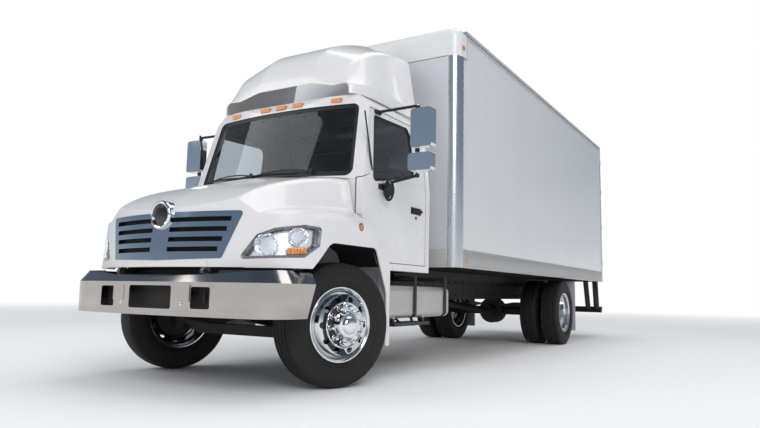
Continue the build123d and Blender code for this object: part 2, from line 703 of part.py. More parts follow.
hood_solid = hood_form(0, 0)
hood_hollow = hood_form(hood_wall, 40)
with BuildPart() as hood_shell:
    add(hood_solid)
    add(hood_hollow, mode=Mode.SUBTRACT)
    # rear flange of each wing
    for side in (-1, 1):
        block((side * 1046, side * (wing_half_width - 4)), (at(538), at(550)), (flap_z, 1010))
    with BuildSketch(side_plane(-wing_half_width - 50), mode=Mode.PRIVATE) as arch:
        with BuildLine():
            points = placed(arch_outline)
            FilletPolyline(*points[1:], radius=arch_radii)
            Polyline(points[-1], points[0], points[1])
        make_face()
    extrude(arch.sketch, amount=2 * wing_half_width + 100, mode=Mode.SUBTRACT)
    prism(side_plane(-wing_half_width - 50), placed(cab_side_cut), 2 * wing_half_width + 100, mode=Mode.SUBTRACT)
    # the rear edge follows the bowed windscreen
    edge = at(screen_foot_back - 12)
    with BuildSketch(Plane.XY.offset(1500), mode=Mode.PRIVATE) as screen_edge:
        with BuildLine():
            sag = screen_arc - sqrt(screen_arc ** 2 - 1100 ** 2)
            ThreePointArc((-1100, edge + sag), (0, edge), (1100, edge + sag))
            Polyline((1100, edge + sag), (1100, edge + 900), (-1100, edge + 900), (-1100, edge + sag))
        make_face()
    extrude(screen_edge.sketch, amount=600, mode=Mode.SUBTRACT)
    prism(Plane.XZ.offset(-at(-1200)), grille_outline, -360, mode=Mode.SUBTRACT, radius=25)
    rod((0, at(-1200), emblem_z), (0, at(-nose_overhang + 145), emblem_z), emblem_radius + fit_gap, mode=Mode.SUBTRACT)
    for side in (1, -1):
        with BuildPart(mode=Mode.PRIVATE) as socket:
            prism(lamp_plane.offset(-150), lamp_outline, 500, radius=22)
        add(socket.part if side > 0 else mirror(socket.part, about=Plane.YZ), mode=Mode.SUBTRACT)
    # pivot lugs beside the frame's pins
    for side in (-1, 1):
        x = side * (rail_outer_x + 40)
        rod((x - 16, at(hood_pivot_back), hood_pivot_z), (x + 16, at(hood_pivot_back), hood_pivot_z), hood_pin_radius + 16)
        block((x - 16, x + 16), (at(hood_pivot_back) - 6, at(hood_pivot_back) + 40), (hood_pivot_z, hood_low_z + 50))
        rod((x - 20, at(hood_pivot_back), hood_pivot_z), (x + 20, at(hood_pivot_back), hood_pivot_z),
            hood_pin_radius + bearing_gap, mode=Mode.SUBTRACT)
write(hood_shell.part, "hood_shell")


def nose_layer(start, end):
    """Bowed layer across the nose between two depths behind its surface."""
    with BuildPart() as layer:
        with BuildSketch(Plane.XY.offset(hood_low_z), mode=Mode.PRIVATE) as band:
            with BuildLine():
                sag = hood_front_arc - sqrt(hood_front_arc ** 2 - 800 ** 2)
                front = at(-nose_overhang + 50)
                ThreePointArc((-800, front + sag + start), (0, front + start), (800, front + sag + start))
                Line((800, front + sag + start), (800, front + sag + end))
                ThreePointArc((800, front + sag + end), (0, front + end), (-800, front + sag + end))
                Line((-800, front + sag + end), (-800, front + sag + start))
            make_face()
        extrude(band.sketch, amount=600, dir=(0, hood_lean, 1))
    return layer.part


# Grille: one bright frame with slots either side of a centre post that carries a plain round disc
slot_low, slot_high = 1020, 1322
slot_height = 36
with BuildPart() as grille:
    add(nose_layer(-4, 26))
    with BuildPart(mode=Mode.PRIVATE) as face:
        prism(Plane.XZ.offset(-at(-1200)), grille_outline, -360, radius=25, inset=fit_gap)
    add(face.part, mode=Mode.INTERSECT)
    pitch = (slot_high - slot_low) / bar_count
    for row in range(bar_count):
        z = slot_low + (row + 0.5) * pitch
        edge_x = grille_half_low + (grille_half_top - grille_half_low) * (z - grille_low_z) / (grille_high_z - grille_low_z)
        for side in (-1, 1):
            block((side * 95, side * (edge_x - 70)), (at(-1200), at(-800)), (z - slot_height / 2, z + slot_height / 2),
                  mode=Mode.SUBTRACT)
    rod((0, at(-nose_overhang + 64), emblem_z), (0, at(-nose_overhang + 140), emblem_z), emblem_radius)
    rod((0, at(-nose_overhang + 60), emblem_z), (0, at(-nose_overhang + 76), emblem_z), emblem_radius - 22,
        mode=Mode.SUBTRACT)
write(grille.part, "grille")

# Headlamps: solid lamp bodies that fill their sockets, flush with the wings
with BuildPart() as lamp:
    add(hood_solid)
    with BuildPart(mode=Mode.PRIVATE) as outline:
        prism(lamp_plane.offset(-95), lamp_outline, 400, radius=22, inset=fit_gap)
    add(outline.part, mode=Mode.INTERSECT)
with BuildPart() as headlamps:
    add(lamp.part)
    add(mirror(lamp.part, about=Plane.YZ))
write(headlamps.part, "headlamps")

# Wheel arch liners: the front of each is carried by the bonnet and tilts with it, beside a strip on the wing's
# tail, and the rear is fixed to the cab's foot
liner_path = [(-562, 1000), (-535, 1070), (-440, 1142), (-330, 1170), (330, 1170), (450, 1120), (532, 1008)]
cab_liner_end = (cab_foot_back - fit_gap, sill_z + 30)
liner_split_back = hood_rear_back


def liner_sheet(path, inner_x, outer_x):
    """Curved sheets over both front wheels, along a path in the side view."""
    under = [(back, z - liner_thickness) for back, z in path[::-1]]
    with BuildPart() as sheet:
        for side in (-1, 1):
            with BuildSketch(side_plane(side * inner_x), mode=Mode.PRIVATE) as strip:
                with BuildLine():
                    Polyline(*placed(path + under), close=True)
                make_face()
            extrude(strip.sketch, amount=side * (outer_x - inner_x))
    return sheet.part


wing_strip_x = cab_half_width + 8
with BuildPart() as arch_liners:
    add(liner_sheet(liner_path, liner_inner_x, wing_half_width))
    add(hood_form(hood_wall + fit_gap, 40), mode=Mode.INTERSECT)
    for side in (-1, 1):
        block((side * 985, side * wing_half_width), (at(-700), at(-425)), (980, 1260), mode=Mode.SUBTRACT)
        block((side * 500, side * wing_strip_x), (at(liner_split_back), at(700)), (900, 1300), mode=Mode.SUBTRACT)
        block((side * 1000, side * wing_half_width), (at(liner_split_back), at(liner_split_back) + fit_gap), (900, 1300),
              mode=Mode.SUBTRACT)
write(arch_liners.part, "arch_liners")

with BuildPart() as cab_arch_liners:
    add(liner_sheet(liner_path[:-1] + [(532, 1008), cab_liner_end], liner_inner_x, cab_half_width))
    block((-wing_half_width, wing_half_width), (at(-700), at(liner_split_back + 12)), (900, 1300), mode=Mode.SUBTRACT)
write(cab_arch_liners.part, "cab_arch_liners")

# Splash shields behind the front wheels and mud flaps behind the rear ones
with BuildPart() as mud_flaps:
    for side in (-1, 1):
        block((side * (rail_outer_x + 1), side * 1030), (at(592), at(597)), (330, 960))
        block((side * rail_outer_x, side * 1030), (at(597), at(600)), (880, 960))
        block((side * 600, side * 1200), (at(wheelbase + 640), at(wheelbase + 648)), (190, 1000))
        block((side * rail_outer_x, side * 1190), (at(wheelbase + 648), at(wheelbase + 680)), (rail_top - 60, 990))
write(mud_flaps.part, "mud_flaps")

# Front bumper: bowed pressed channel with a crease below its leaning top band
bumper_low, bumper_crease, bumper_high = 562, 812, 905
bumper_wall = 6
bumper_arc = 6300
bumper_corner = 290
bumper_openings = [(0, 468, 172), (519, 178, 158), (-519, 178, 158)]  # x, width, height


def bumper_form(inset):
    """Closed form behind the bumper's surface, drawn in by an inset."""
    half = wing_half_width - 2 - inset
    front = at(-nose_overhang) + inset
    sag = bumper_arc - sqrt(bumper_arc ** 2 - half ** 2)
    with BuildPart() as form:
        with BuildSketch(Plane.XY.offset(bumper_low - inset)) as plan:
            with BuildLine():
                ThreePointArc((-half, front + sag), (0, front), (half, front + sag))
                Polyline((half, front + sag), (half, at(-300)), (-half, at(-300)), (-half, front + sag))
            make_face()
            fillet(plan.vertices().group_by(Axis.Y)[0], bumper_corner - inset)
        extrude(amount=bumper_crease - bumper_low + inset)
        extrude(faces().sort_by(Axis.Z)[-1], amount=bumper_high - bumper_crease + inset, taper=38)
    return form.part


with BuildPart() as front_bumper:
    add(bumper_form(0))
    add(bumper_form(bumper_wall), mode=Mode.SUBTRACT)
    # swept rear ends
    prism(side_plane(-1300), [(at(-470), 950), (at(-640), 500), (at(-200), 500), (at(-200), 950)], 2600, mode=Mode.SUBTRACT)
    # the top edge climbs towards the ends
    prism(Plane.XZ.offset(-at(-1200)), [(-1300, 905), (-1050, 905), (-500, 868), (0, 853), (500, 868), (1050, 905), (1300, 905),
                                        (1300, 1100), (-1300, 1100)], -900, mode=Mode.SUBTRACT)
    with BuildSketch(Plane.XZ.offset(-at(-1200)), mode=Mode.PRIVATE) as cuts:
        for x, width, height in bumper_openings:
            with Locations((x, 698)):
                RectangleRounded(width, height, 18)
    extrude(cuts.sketch, amount=-500, mode=Mode.SUBTRACT)
    for side in (-1, 1):
        block((side * 357, side * 425), (at(-nose_overhang + bumper_wall + 12), at(-frame_nose) - fit_gap), (rail_low + 30, 790))
        block((side * 300, side * 425), (at(-nose_overhang + 4), at(-nose_overhang + 24)), (rail_low - 20, 790))
write(front_bumper.part, "front_bumper")

# Mirrors: a tall and a small head on two arms from the door, and a round one on a short stalk
mirror_middle = 620
mirror_heads = [(1428, 2053, 2406, 212), (1415, 1840, 2000, 230)]  # x, low_z, high_z, width
with BuildPart() as door_mirror:
    for x, low, high, width in mirror_heads:
        with BuildSketch(Plane.XZ.offset(-at(mirror_middle - 45)), mode=Mode.PRIVATE) as head:
            with Locations((x, (low + high) / 2)):
                RectangleRounded(width, high - low, 28)
        extrude(head.sketch, amount=-90)
    post_x = 1372
    rod((post_x, at(mirror_middle), 1790), (post_x, at(mirror_middle), 2450), 12)
    rod((post_x, at(mirror_middle), 2440), (900, at(mirror_middle - 40), 2420), 11)
    rod((post_x, at(mirror_middle), 1800), (940, at(mirror_middle - 40), 1715), 11)
    rod((980, at(mirror_middle - 25), 1680), (1098, at(mirror_middle - 25), 1680), 12)
    with BuildSketch(Plane.XZ.offset(-at(mirror_middle - 50)), mode=Mode.PRIVATE) as pod:
        with Locations((1098, 1680)):
            RectangleRounded(70, 165, 30)
    extrude(pod.sketch, amount=-50)
    add(cab_form(0, sill_z), mode=Mode.SUBTRACT)
write_pair(door_mirror.part, "mirror")

# Fuel tank on the left with its straps and step, battery box on the right
tank_front, tank_rear = 730, 1970
tank_low, tank_high = 522, 828
tank_inner, tank_outer = 560, 1050
with BuildPart() as fuel_tank:
    with BuildSketch(Plane.XZ.offset(-at(tank_front)), mode=Mode.PRIVATE) as tank:
        with Locations(((tank_inner + tank_outer) / 2, (tank_low + tank_high) / 2)):
            RectangleRounded(tank_outer - tank_inner, tank_high - tank_low, 60)
    extrude(tank.sketch, amount=-(tank_rear - tank_front))
    for back in (1200, 1870):
        block((rail_outer_x, 600), (at(back - 30), at(back + 30)), (tank_low + 80, rail_low + 140))
        block((tank_outer - 4, tank_outer + 8), (at(back - 25), at(back + 25)), (tank_low + 30, tank_high + 90))
        block((rail_outer_x, tank_outer + 8), (at(back - 25), at(back + 25)), (tank_high + 60, tank_high + 95))
    block((tank_outer - 180, tank_outer + 20), (at(tank_front + 60), at(tank_front + 760)), (452, 482))
    for back in (tank_front + 110, tank_front + 700):
        block((tank_outer - 60, tank_outer - 20), (at(back - 20), at(back + 20)), (470, tank_low + 62))
write(fuel_tank.part, "fuel_tank")

with BuildPart() as battery_box:
    block((-rail_outer_x, -1040), (at(760), at(1420)), (540, 860))
    block((-1060, -860), (at(780), at(1400)), (452, 482))
    for back in (830, 1350):
        block((-960, -920), (at(back - 20), at(back + 20)), (470, 545))
write(battery_box.part, "battery_box")

# Exhaust silencer and pipe under the right rail
with BuildPart() as exhaust:
    rod((-640, at(1560), 640), (-640, at(2460), 640), 135)
    rod((-640, at(2450), 640), (-640, at(3500), 640), 52)
    for back in (1700, 2320):
        block((-rail_outer_x, -600), (at(back - 20), at(back + 20)), (700, 760))
write(exhaust.part, "exhaust")


# Load body floor on cross sills and two long sills
side_inner = load_half_width - wall_thickness
outer_x = load_half_width + rail_proud
floor_low = load_low_z + 100
floor_high = floor_low + floor_thickness
front_y, rear_y = at(load_front_back), at(load_rear_back)
walls_end = rear_y - rear_post_depth
sill_start = post_radius + 20
sill_count = int((load_length - 2 * sill_start) / sill_pitch) + 1
with BuildPart() as load_floor:
    block((-side_inner, side_inner), (front_y + wall_thickness, walls_end), (floor_low, floor_high))
    chamfer(edges().filter_by(Axis.Z).group_by(Axis.Y)[0], post_radius - wall_thickness + 2)
    for number in range(sill_count):
        y = front_y + sill_start + number * sill_pitch
        block((-side_inner, side_inner), (y, y + 50), (load_low_z, floor_low))
    for side in (-1, 1):
        block((side * spring_x - 38, side * spring_x + 38), (front_y + 60, walls_end), (rail_top, load_low_z))
write(load_floor.part, "load_floor")

# Bottom and top rails, and the rounded front corner posts under the cap
post_width, post_depth, cap_depth = 118, 150, 235
rail_low_top = load_low_z + lower_rail_height
with BuildPart() as load_rails:
    for side in (-1, 1):
        block((side * side_inner, side * outer_x), (front_y + post_depth, walls_end), (load_low_z, rail_low_top))
        block((side * side_inner, side * outer_x), (front_y + cap_depth, walls_end),
              (load_high_z - upper_rail_height, load_high_z))
        with BuildSketch(Plane.XY.offset(load_low_z), mode=Mode.PRIVATE) as post:
            with BuildLine():
                wall = wall_thickness
                Polyline((side * outer_x, front_y + post_depth), (side * outer_x, front_y),
                         (side * (outer_x - post_width), front_y), (side * (outer_x - post_width), front_y + wall),
                         (side * (outer_x - wall), front_y + wall), (side * (outer_x - wall), front_y + post_depth),
                         close=True)
            make_face()
            corner = post.vertices().filter_by(lambda v: abs(abs(v.X) - outer_x) < 1 and v.Y < front_y + 1)
            fillet(corner, post_radius)
            inner_corner = post.vertices().filter_by(
                lambda v: abs(abs(v.X) - outer_x + wall) < 1 and abs(v.Y - front_y - wall) < 1)
            fillet(inner_corner, post_radius - wall)
        extrude(post.sketch, amount=cap_seam_z - load_low_z)
write(load_rails.part, "load_rails")

# Front wall between the posts, and the side walls between the rails
post_inner = outer_x - post_width
with BuildPart() as load_front_wall:
    block((-post_inner, post_inner), (front_y, front_y + wall_thickness), (load_low_z, cap_seam_z))
write(load_front_wall.part, "load_front_wall")

rail_high_low = load_high_z - upper_rail_height
with BuildPart() as load_side_walls:
    for side in (-1, 1):
        prism(side_plane(min(side * side_inner, side * load_half_width)),
              [(front_y + post_depth, rail_low_top), (walls_end, rail_low_top), (walls_end, rail_high_low),
               (front_y + cap_depth, rail_high_low), (front_y + cap_depth, cap_seam_z),
               (front_y + post_depth, cap_seam_z)], wall_thickness)
write(load_side_walls.part, "load_side_walls")

# Moulded front cap and the roof sheet behind it
with BuildPart() as load_roof:
    block((-outer_x, outer_x), (front_y, front_y + cap_depth), (cap_seam_z, load_high_z))
    front_corners = edges().filter_by(Axis.Z).group_by(Axis.Y)[0]
    fillet(front_corners, post_radius)
    fillet(edges().group_by(Axis.Z)[-1].group_by(Axis.Y)[:-1], cap_radius - 50)
    block((-side_inner, side_inner), (front_y + wall_thickness, front_y + cap_depth + 1),
          (cap_seam_z - 1, load_high_z - roof_thickness), mode=Mode.SUBTRACT)
    block((-side_inner, side_inner), (front_y + cap_depth, walls_end), (load_high_z - roof_thickness, load_high_z))
write(load_roof.part, "load_roof")

# Rear door frame with its hinge lugs and pins
rear_opening_x = outer_x - rear_post_width
header_low = load_high_z - header_height
hinge_levels = [1400, 2100, 2800, 3400]
pin_y = rear_y + hinge_back
with BuildPart() as rear_frame:
    block((-outer_x, outer_x), (walls_end, rear_y), (load_low_z, load_high_z))
    block((-rear_opening_x, rear_opening_x), (walls_end - 1, rear_y + 1), (floor_high, header_low), mode=Mode.SUBTRACT)
    for side in (-1, 1):
        for level in hinge_levels:
            for low in (level - 36, level + 20):
                block((side * (hinge_x - 14), side * (hinge_x + 14)), (rear_y, pin_y + 14), (low, low + 16))
            rod((side * hinge_x, pin_y, level - 36), (side * hinge_x, pin_y, level + 36), hinge_pin_radius)
write(rear_frame.part, "rear_frame")

# Rear doors: a leaf with its hinge straps and two lock rods
leaf_low, leaf_high = floor_high + leaf_gap, header_low - leaf_gap
leaf_outer = rear_opening_x - leaf_gap
rod_places = [130, 640]
with BuildPart() as rear_door:
    block((leaf_gap / 2, leaf_outer), (rear_y - leaf_thickness, rear_y), (leaf_low, leaf_high))
    for level in hinge_levels:
        with BuildSketch(Plane.XY.offset(level - 19), mode=Mode.PRIVATE) as strap:
            with BuildLine():
                Polyline((leaf_outer - 300, rear_y), (leaf_outer - 14, rear_y), (hinge_x, pin_y - 10), (hinge_x, pin_y + 8),
                         (leaf_outer - 20, rear_y + 9), (leaf_outer - 300, rear_y + 9), close=True)
            make_face()
            with Locations((hinge_x, pin_y)):
                Circle(17)
                Circle(hinge_pin_radius + bearing_gap, mode=Mode.SUBTRACT)
        extrude(strap.sketch, amount=38)
    for x in rod_places:
        rod((x, rear_y + rod_stand, leaf_low + 4), (x, rear_y + rod_stand, leaf_high - 4), rod_radius)
        for level in (leaf_low + 60, 1900, 2600, leaf_high - 60):
            block((x - 26, x + 26), (rear_y, rear_y + rod_stand), (level - 25, level + 25))
        # handle lying along the leaf
        block((x, x + 330), (rear_y + 8, rear_y + 22), (1480, 1512))
        block((x + 290, x + 330), (rear_y, rear_y + 10), (1470, 1522))
write_pair(rear_door.part, "rear_door")

# Rear step and under-ride guard, hung from the frame and the body's corners
guard_low, guard_high = 450, 560
with BuildPart() as rear_step:
    block((-1180, 1180), (rear_y, rear_y + guard_reach), (guard_high - 40, guard_high))
    block((-1180, 1180), (rear_y + 20, rear_y + 90), (guard_low, guard_high - 40))
    for side in (-1, 1):
        prism(side_plane(side * 1130 - 6), [(rear_y - 190, load_low_z - fit_gap), (rear_y - 20, load_low_z - fit_gap),
                                            (rear_y + 60, guard_high), (rear_y, guard_high)], 12)
        prism(side_plane(side * 395 - 10), [(rail_end + fit_gap, rail_top - 20), (rail_end + 90, rail_top - 20),
                                            (rear_y + 90, guard_low), (rear_y + 20, guard_low),
                                            (rail_end + fit_gap, rail_low + 20)], 20)
write(rear_step.part, "rear_step")

# Lamps: amber markers on the cab roof and body, and the rear lamps
roof_lamp_x = [-626, -201, 0, 201, 626]
with BuildPart() as lamps:
    for x in roof_lamp_x:
        y = at(screen_head_back + screen_arc - sqrt(screen_arc ** 2 - x ** 2))
        block((x - 55, x + 55), (y - 8, y + 100), (2514, 2552))
    add(cab_form(0, sill_z), mode=Mode.SUBTRACT)
    for side in (-1, 1):
        x = side * outer_x
        block((x, x + side * 14), (front_y + 105, front_y + 155), (3440, 3480))
        block((x, x + side * 14), (front_y + 3360, front_y + 3420), (load_high_z - 70, load_high_z - 40))
        block((x, x + side * 8), (front_y + 190, front_y + 250), (load_low_z + 60, load_low_z + 95))
        block((side * 620, side * 780), (rear_y, rear_y + 14), (load_low_z + 40, load_low_z + 100))
        block((side * 830, side * 990), (rear_y, rear_y + 14), (load_low_z + 40, load_low_z + 100))
    for x in (-160, 0, 160):
        block((x - 35, x + 35), (rear_y, rear_y + 14), (header_low + 50, header_low + 80))
write(lamps.part, "lamps")
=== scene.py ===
import json
import math

import bmesh
import bpy
from mathutils import Matrix, Vector
from mathutils.bvhtree import BVHTree


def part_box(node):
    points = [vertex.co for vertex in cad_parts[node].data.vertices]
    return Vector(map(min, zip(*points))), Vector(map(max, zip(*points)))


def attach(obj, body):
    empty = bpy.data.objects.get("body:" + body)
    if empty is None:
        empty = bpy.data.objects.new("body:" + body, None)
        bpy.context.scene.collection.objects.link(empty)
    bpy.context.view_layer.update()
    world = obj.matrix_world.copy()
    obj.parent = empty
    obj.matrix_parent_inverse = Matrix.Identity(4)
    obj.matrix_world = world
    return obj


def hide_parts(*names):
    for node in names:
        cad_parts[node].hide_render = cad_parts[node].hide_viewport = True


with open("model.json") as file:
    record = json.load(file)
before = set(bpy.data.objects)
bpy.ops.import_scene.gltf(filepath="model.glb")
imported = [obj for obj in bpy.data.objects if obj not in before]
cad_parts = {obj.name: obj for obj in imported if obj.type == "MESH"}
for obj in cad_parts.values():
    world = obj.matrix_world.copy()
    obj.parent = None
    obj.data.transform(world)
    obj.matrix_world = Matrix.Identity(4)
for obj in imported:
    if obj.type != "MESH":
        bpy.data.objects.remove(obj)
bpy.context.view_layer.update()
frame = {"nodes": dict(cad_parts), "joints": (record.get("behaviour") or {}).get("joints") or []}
nodes = frame["nodes"]

# The view of the photograph: a low camera off the truck's left front corner.
# The place and the turn come from the fit of the wheels, bumper and load body.
axle_low, axle_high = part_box("front_axle")
axle_y = (axle_low.y + axle_high.y) / 2
eye_from_axle = Vector((4.0327, -4.38, 0.7665))
yaw, pitch, roll = math.radians(31.2925), math.radians(6.8837), math.radians(1.0901)
focal_pixels, photo_width = 644.5436, 760
ahead = Vector((-math.sin(yaw) * math.cos(pitch), math.cos(yaw) * math.cos(pitch), math.sin(pitch)))
across = Vector((math.cos(yaw), math.sin(yaw), 0))
over = across.cross(ahead)
right = across * math.cos(roll) + over * math.sin(roll)
up = over * math.cos(roll) - across * math.sin(roll)
lens = bpy.data.cameras.new("photo_view")
lens.sensor_width = 36
lens.lens = lens.sensor_width * focal_pixels / photo_width
camera = bpy.data.objects.new("photo_view", lens)
turn = Matrix((right, up, -ahead)).transposed().to_4x4()
camera.matrix_world = Matrix.Translation(eye_from_axle + Vector((0, axle_y, 0))) @ turn
bpy.context.scene.collection.objects.link(camera)
bpy.context.scene.camera = camera

# Pale studio: a wide floor that fades into a white surround, a pale sky with a bluer top and a warmer
# ground for the bright metal to reflect, and three large soft lamps.
bpy.context.scene.view_settings.view_transform = "Standard"


def new_material(name):
    """A node material and its tree, which is emptied."""
    material = bpy.data.materials.new(name)
    material.use_nodes = True
    material.node_tree.nodes.clear()
    return material, material.node_tree


def add_node(tree, kind, feeds=None, **settings):
    """Adds a shader node and gives its outputs. A feed is a plain value or another node's output."""
    node = tree.nodes.new("ShaderNode" + kind)
    for name, value in settings.items():
        setattr(node, name, value)
    for key, feed in (feeds or {}).items():
        if isinstance(feed, bpy.types.NodeSocket):
            tree.links.new(feed, node.inputs[key])
        else:
            node.inputs[key].default_value = feed
    return node.outputs


def colour_ramp(tree, share, stops):
    """A colour ramp with its stops given as (place, colour) pairs."""
    ramp = tree.nodes.new("ShaderNodeValToRGB")
    tree.links.new(share, ramp.inputs[0])
    while len(ramp.color_ramp.elements) < len(stops):
        ramp.color_ramp.elements.new(0.5)
    for element, (place, colour) in zip(ramp.color_ramp.elements, stops):
        element.position = place
        element.color = (*colour, 1)
    return ramp.outputs[0]


world = bpy.data.worlds.new("studio_sky")
bpy.context.scene.world = world
world.use_nodes = True
sky = world.node_tree
sky.nodes.clear()
way = add_node(sky, "TexCoord")
height = add_node(sky, "SeparateXYZ", {0: way["Generated"]})
level = add_node(sky, "MapRange", {"Value": height["Z"], "From Min": -1, "From Max": 1})
tint = colour_ramp(sky, level[0], [
    (0, (0.42, 0.4, 0.38)), (0.485, (0.7, 0.68, 0.66)), (0.505, (0.97, 0.97, 0.97)),
    (0.535, (0.5, 0.55, 0.61)), (0.59, (0.21, 0.27, 0.34)), (0.7, (0.13, 0.18, 0.24)),
    (1, (0.08, 0.11, 0.15))])
rays = add_node(sky, "LightPath")
pale = add_node(sky, "Background", {"Color": (1, 1, 1, 1), "Strength": 1})
mirrored = add_node(sky, "Background", {"Color": tint, "Strength": 1})
lit = add_node(sky, "Background", {"Color": (0.93, 0.96, 1, 1), "Strength": 0.5})
see_mirrored = add_node(sky, "MixShader", {0: rays["Is Glossy Ray"], 1: lit[0], 2: mirrored[0]})
clear_rays = add_node(sky, "Math", {0: rays["Is Camera Ray"], 1: rays["Is Transmission Ray"]},
                      operation="MAXIMUM")
see_pale = add_node(sky, "MixShader", {0: clear_rays[0], 1: see_mirrored[0], 2: pale[0]})
add_node(sky, "OutputWorld", {"Surface": see_pale[0]})

floor_radius, plain_radius, fade_radius = 60, 9, 26
floor_finish, tree = new_material("pale_floor")
place = add_node(tree, "TexCoord")
reach = add_node(tree, "VectorMath", {0: place["Object"]}, operation="LENGTH")
fade = add_node(tree, "MapRange", {"Value": reach["Value"], "From Min": plain_radius,
                                   "From Max": fade_radius})
matt = add_node(tree, "BsdfPrincipled", {"Base Color": (0.93, 0.93, 0.93, 1), "Roughness": 0.9})
white = add_node(tree, "Emission", {"Color": (1, 1, 1, 1), "Strength": 1})
faded = add_node(tree, "MixShader", {0: fade[0], 1: matt[0], 2: white[0]})
add_node(tree, "OutputMaterial", {"Surface": faded[0]})
bm = bmesh.new()
bmesh.ops.create_circle(bm, cap_ends=True, radius=floor_radius, segments=64)
floor_mesh = bpy.data.meshes.new("floor")
bm.to_mesh(floor_mesh)
bm.free()
floor_mesh.materials.append(floor_finish)
floor = bpy.data.objects.new("floor", floor_mesh)
bpy.context.scene.collection.objects.link(floor)

lamp_places = [  # place, aim, size, watts
    ((13, -15, 11), (0.5, -2, 1.5), 9, 1350),
    ((-11, -13, 10), (0, -2.5, 1.5), 9, 550),
    ((2, 2, 16), (0, 0, 2), 12, 900),
]
for number, (spot, aim, size, watts) in enumerate(lamp_places):
    softbox = bpy.data.lights.new(f"softbox_{number}", "AREA")
    softbox.energy, softbox.size = watts, size
    lamp = bpy.data.objects.new(f"softbox_{number}", softbox)
    lamp.location = spot
    lamp.rotation_euler = (Vector(aim) - Vector(spot)).to_track_quat("-Z", "Y").to_euler()
    bpy.context.scene.collection.objects.link(lamp)

# White coachwork: cab, doors, bonnet and roof fairing are moulded or pressed panels under one glossy white
# Inside, the cab and the doors carry dark trim, so one finish turns near-black where a face looks inwards,
# which also paints the shade inside the cab.


def effect(name, output, *inputs):
    """A shader node group with named inputs and one number out, with the sockets at its two ends."""
    group = bpy.data.node_groups.new(name, "ShaderNodeTree")
    for socket_name, kind, value in inputs:
        group.interface.new_socket(name=socket_name, in_out="INPUT", socket_type=kind).default_value = value
    group.interface.new_socket(name=output, in_out="OUTPUT", socket_type="NodeSocketFloat")
    return group, group.nodes.new("NodeGroupInput").outputs, group.nodes.new("NodeGroupOutput").inputs


grain, given, result = effect("grain", "Value", ("Scale", "NodeSocketFloat", 20),
                              ("Stretch", "NodeSocketVector", (1, 1, 1)))
place = add_node(grain, "TexCoord")
stretched = add_node(grain, "VectorMath", {0: place["Object"], 1: given["Stretch"]}, operation="MULTIPLY")
noise = add_node(grain, "TexNoise", {"Vector": stretched[0], "Scale": given["Scale"], "Detail": 6,
                                     "Roughness": 0.6})
grain.links.new(noise["Fac"], result[0])

road_dust, given, result = effect("road_dust", "Mask", ("Top", "NodeSocketFloat", 1.2),
                                  ("Amount", "NodeSocketFloat", 0.3))
place = add_node(road_dust, "TexCoord")
height = add_node(road_dust, "SeparateXYZ", {0: place["Object"]})
lower = add_node(road_dust, "MapRange", {"Value": height["Z"], "From Min": 0, "From Max": given["Top"],
                                         "To Min": 1, "To Max": 0})
patches = add_node(road_dust, "TexNoise", {"Vector": place["Object"], "Scale": 3.5, "Detail": 8,
                                           "Roughness": 0.65})
uneven = add_node(road_dust, "Math", {0: lower[0], 1: patches["Fac"]}, operation="MULTIPLY")
share = add_node(road_dust, "Math", {0: uneven[0], 1: given["Amount"]}, operation="MULTIPLY", use_clamp=True)
road_dust.links.new(share[0], result[0])


def blend_colours(tree, share, first, second):
    """A mix of two colours, each a plain one or another node's output."""
    feeds = {0: share}
    for key, colour in ((6, first), (7, second)):
        feeds[key] = colour if isinstance(colour, bpy.types.NodeSocket) else (*colour, 1)
    return add_node(tree, "Mix", feeds, data_type="RGBA")[2]


def add_shader(tree, feeds):
    """Adds the surface shader and the material's output."""
    shader = add_node(tree, "BsdfPrincipled", feeds)
    add_node(tree, "OutputMaterial", {"Surface": shader[0]})


def surface(name, colour, second, rough=0.4, spread=0.1, metal=0.0, coat=0.0, scale=20, stretch=(1, 1, 1),
            depth=0.0002, dust=0.2, dust_top=1.2, dust_colour=(0.32, 0.28, 0.23), specular=0.5):
    """A finish whose colour, gloss and height follow one grain, with some road dust low down."""
    material, tree = new_material(name)
    pattern = add_node(tree, "Group", {"Scale": scale, "Stretch": stretch}, node_tree=grain)[0]
    dirt = add_node(tree, "Group", {"Top": dust_top, "Amount": dust}, node_tree=road_dust)[0]
    clean = blend_colours(tree, pattern, colour, second)
    gloss = add_node(tree, "MapRange", {"Value": pattern, "From Min": 0.3, "From Max": 0.7,
                                        "To Min": rough - spread / 2, "To Max": rough + spread / 2})
    bump = add_node(tree, "Bump", {"Height": pattern, "Strength": 1, "Distance": depth})
    add_shader(tree, {"Base Color": blend_colours(tree, dirt, clean, dust_colour), "Metallic": metal,
                      "Roughness": gloss[0], "Specular IOR Level": specular, "Coat Weight": coat,
                      "Coat Roughness": 0.06, "Normal": bump[0]})
    return material


def paint_node(material, *names):
    """Gives CAD nodes their finish."""
    for name in names:
        slots = nodes[name].data.materials
        slots.clear()
        slots.append(material)


def opened(material):
    """A finish's tree, its shader and the output that colours it."""
    shader = next(n for n in material.node_tree.nodes if n.type == "BSDF_PRINCIPLED")
    return material.node_tree, shader, shader.inputs["Base Color"].links[0].from_socket


def dark_trim_and_painted_shade_inside(material, middle, trim):
    """Turns a finish near-black on the faces that look towards a middle point: dark trim that is also painted
    shade.
    """
    tree, shader, outer = opened(material)
    place = add_node(tree, "TexCoord")
    away = add_node(tree, "VectorMath", {0: place["Object"], 1: middle}, operation="SUBTRACT")
    facing = add_node(tree, "VectorMath", {0: place["Normal"], 1: away[0]}, operation="DOT_PRODUCT")
    inward = add_node(tree, "Math", {0: facing["Value"], 1: 0}, operation="LESS_THAN")
    tree.links.new(blend_colours(tree, inward[0], outer, trim), shader.inputs["Base Color"])


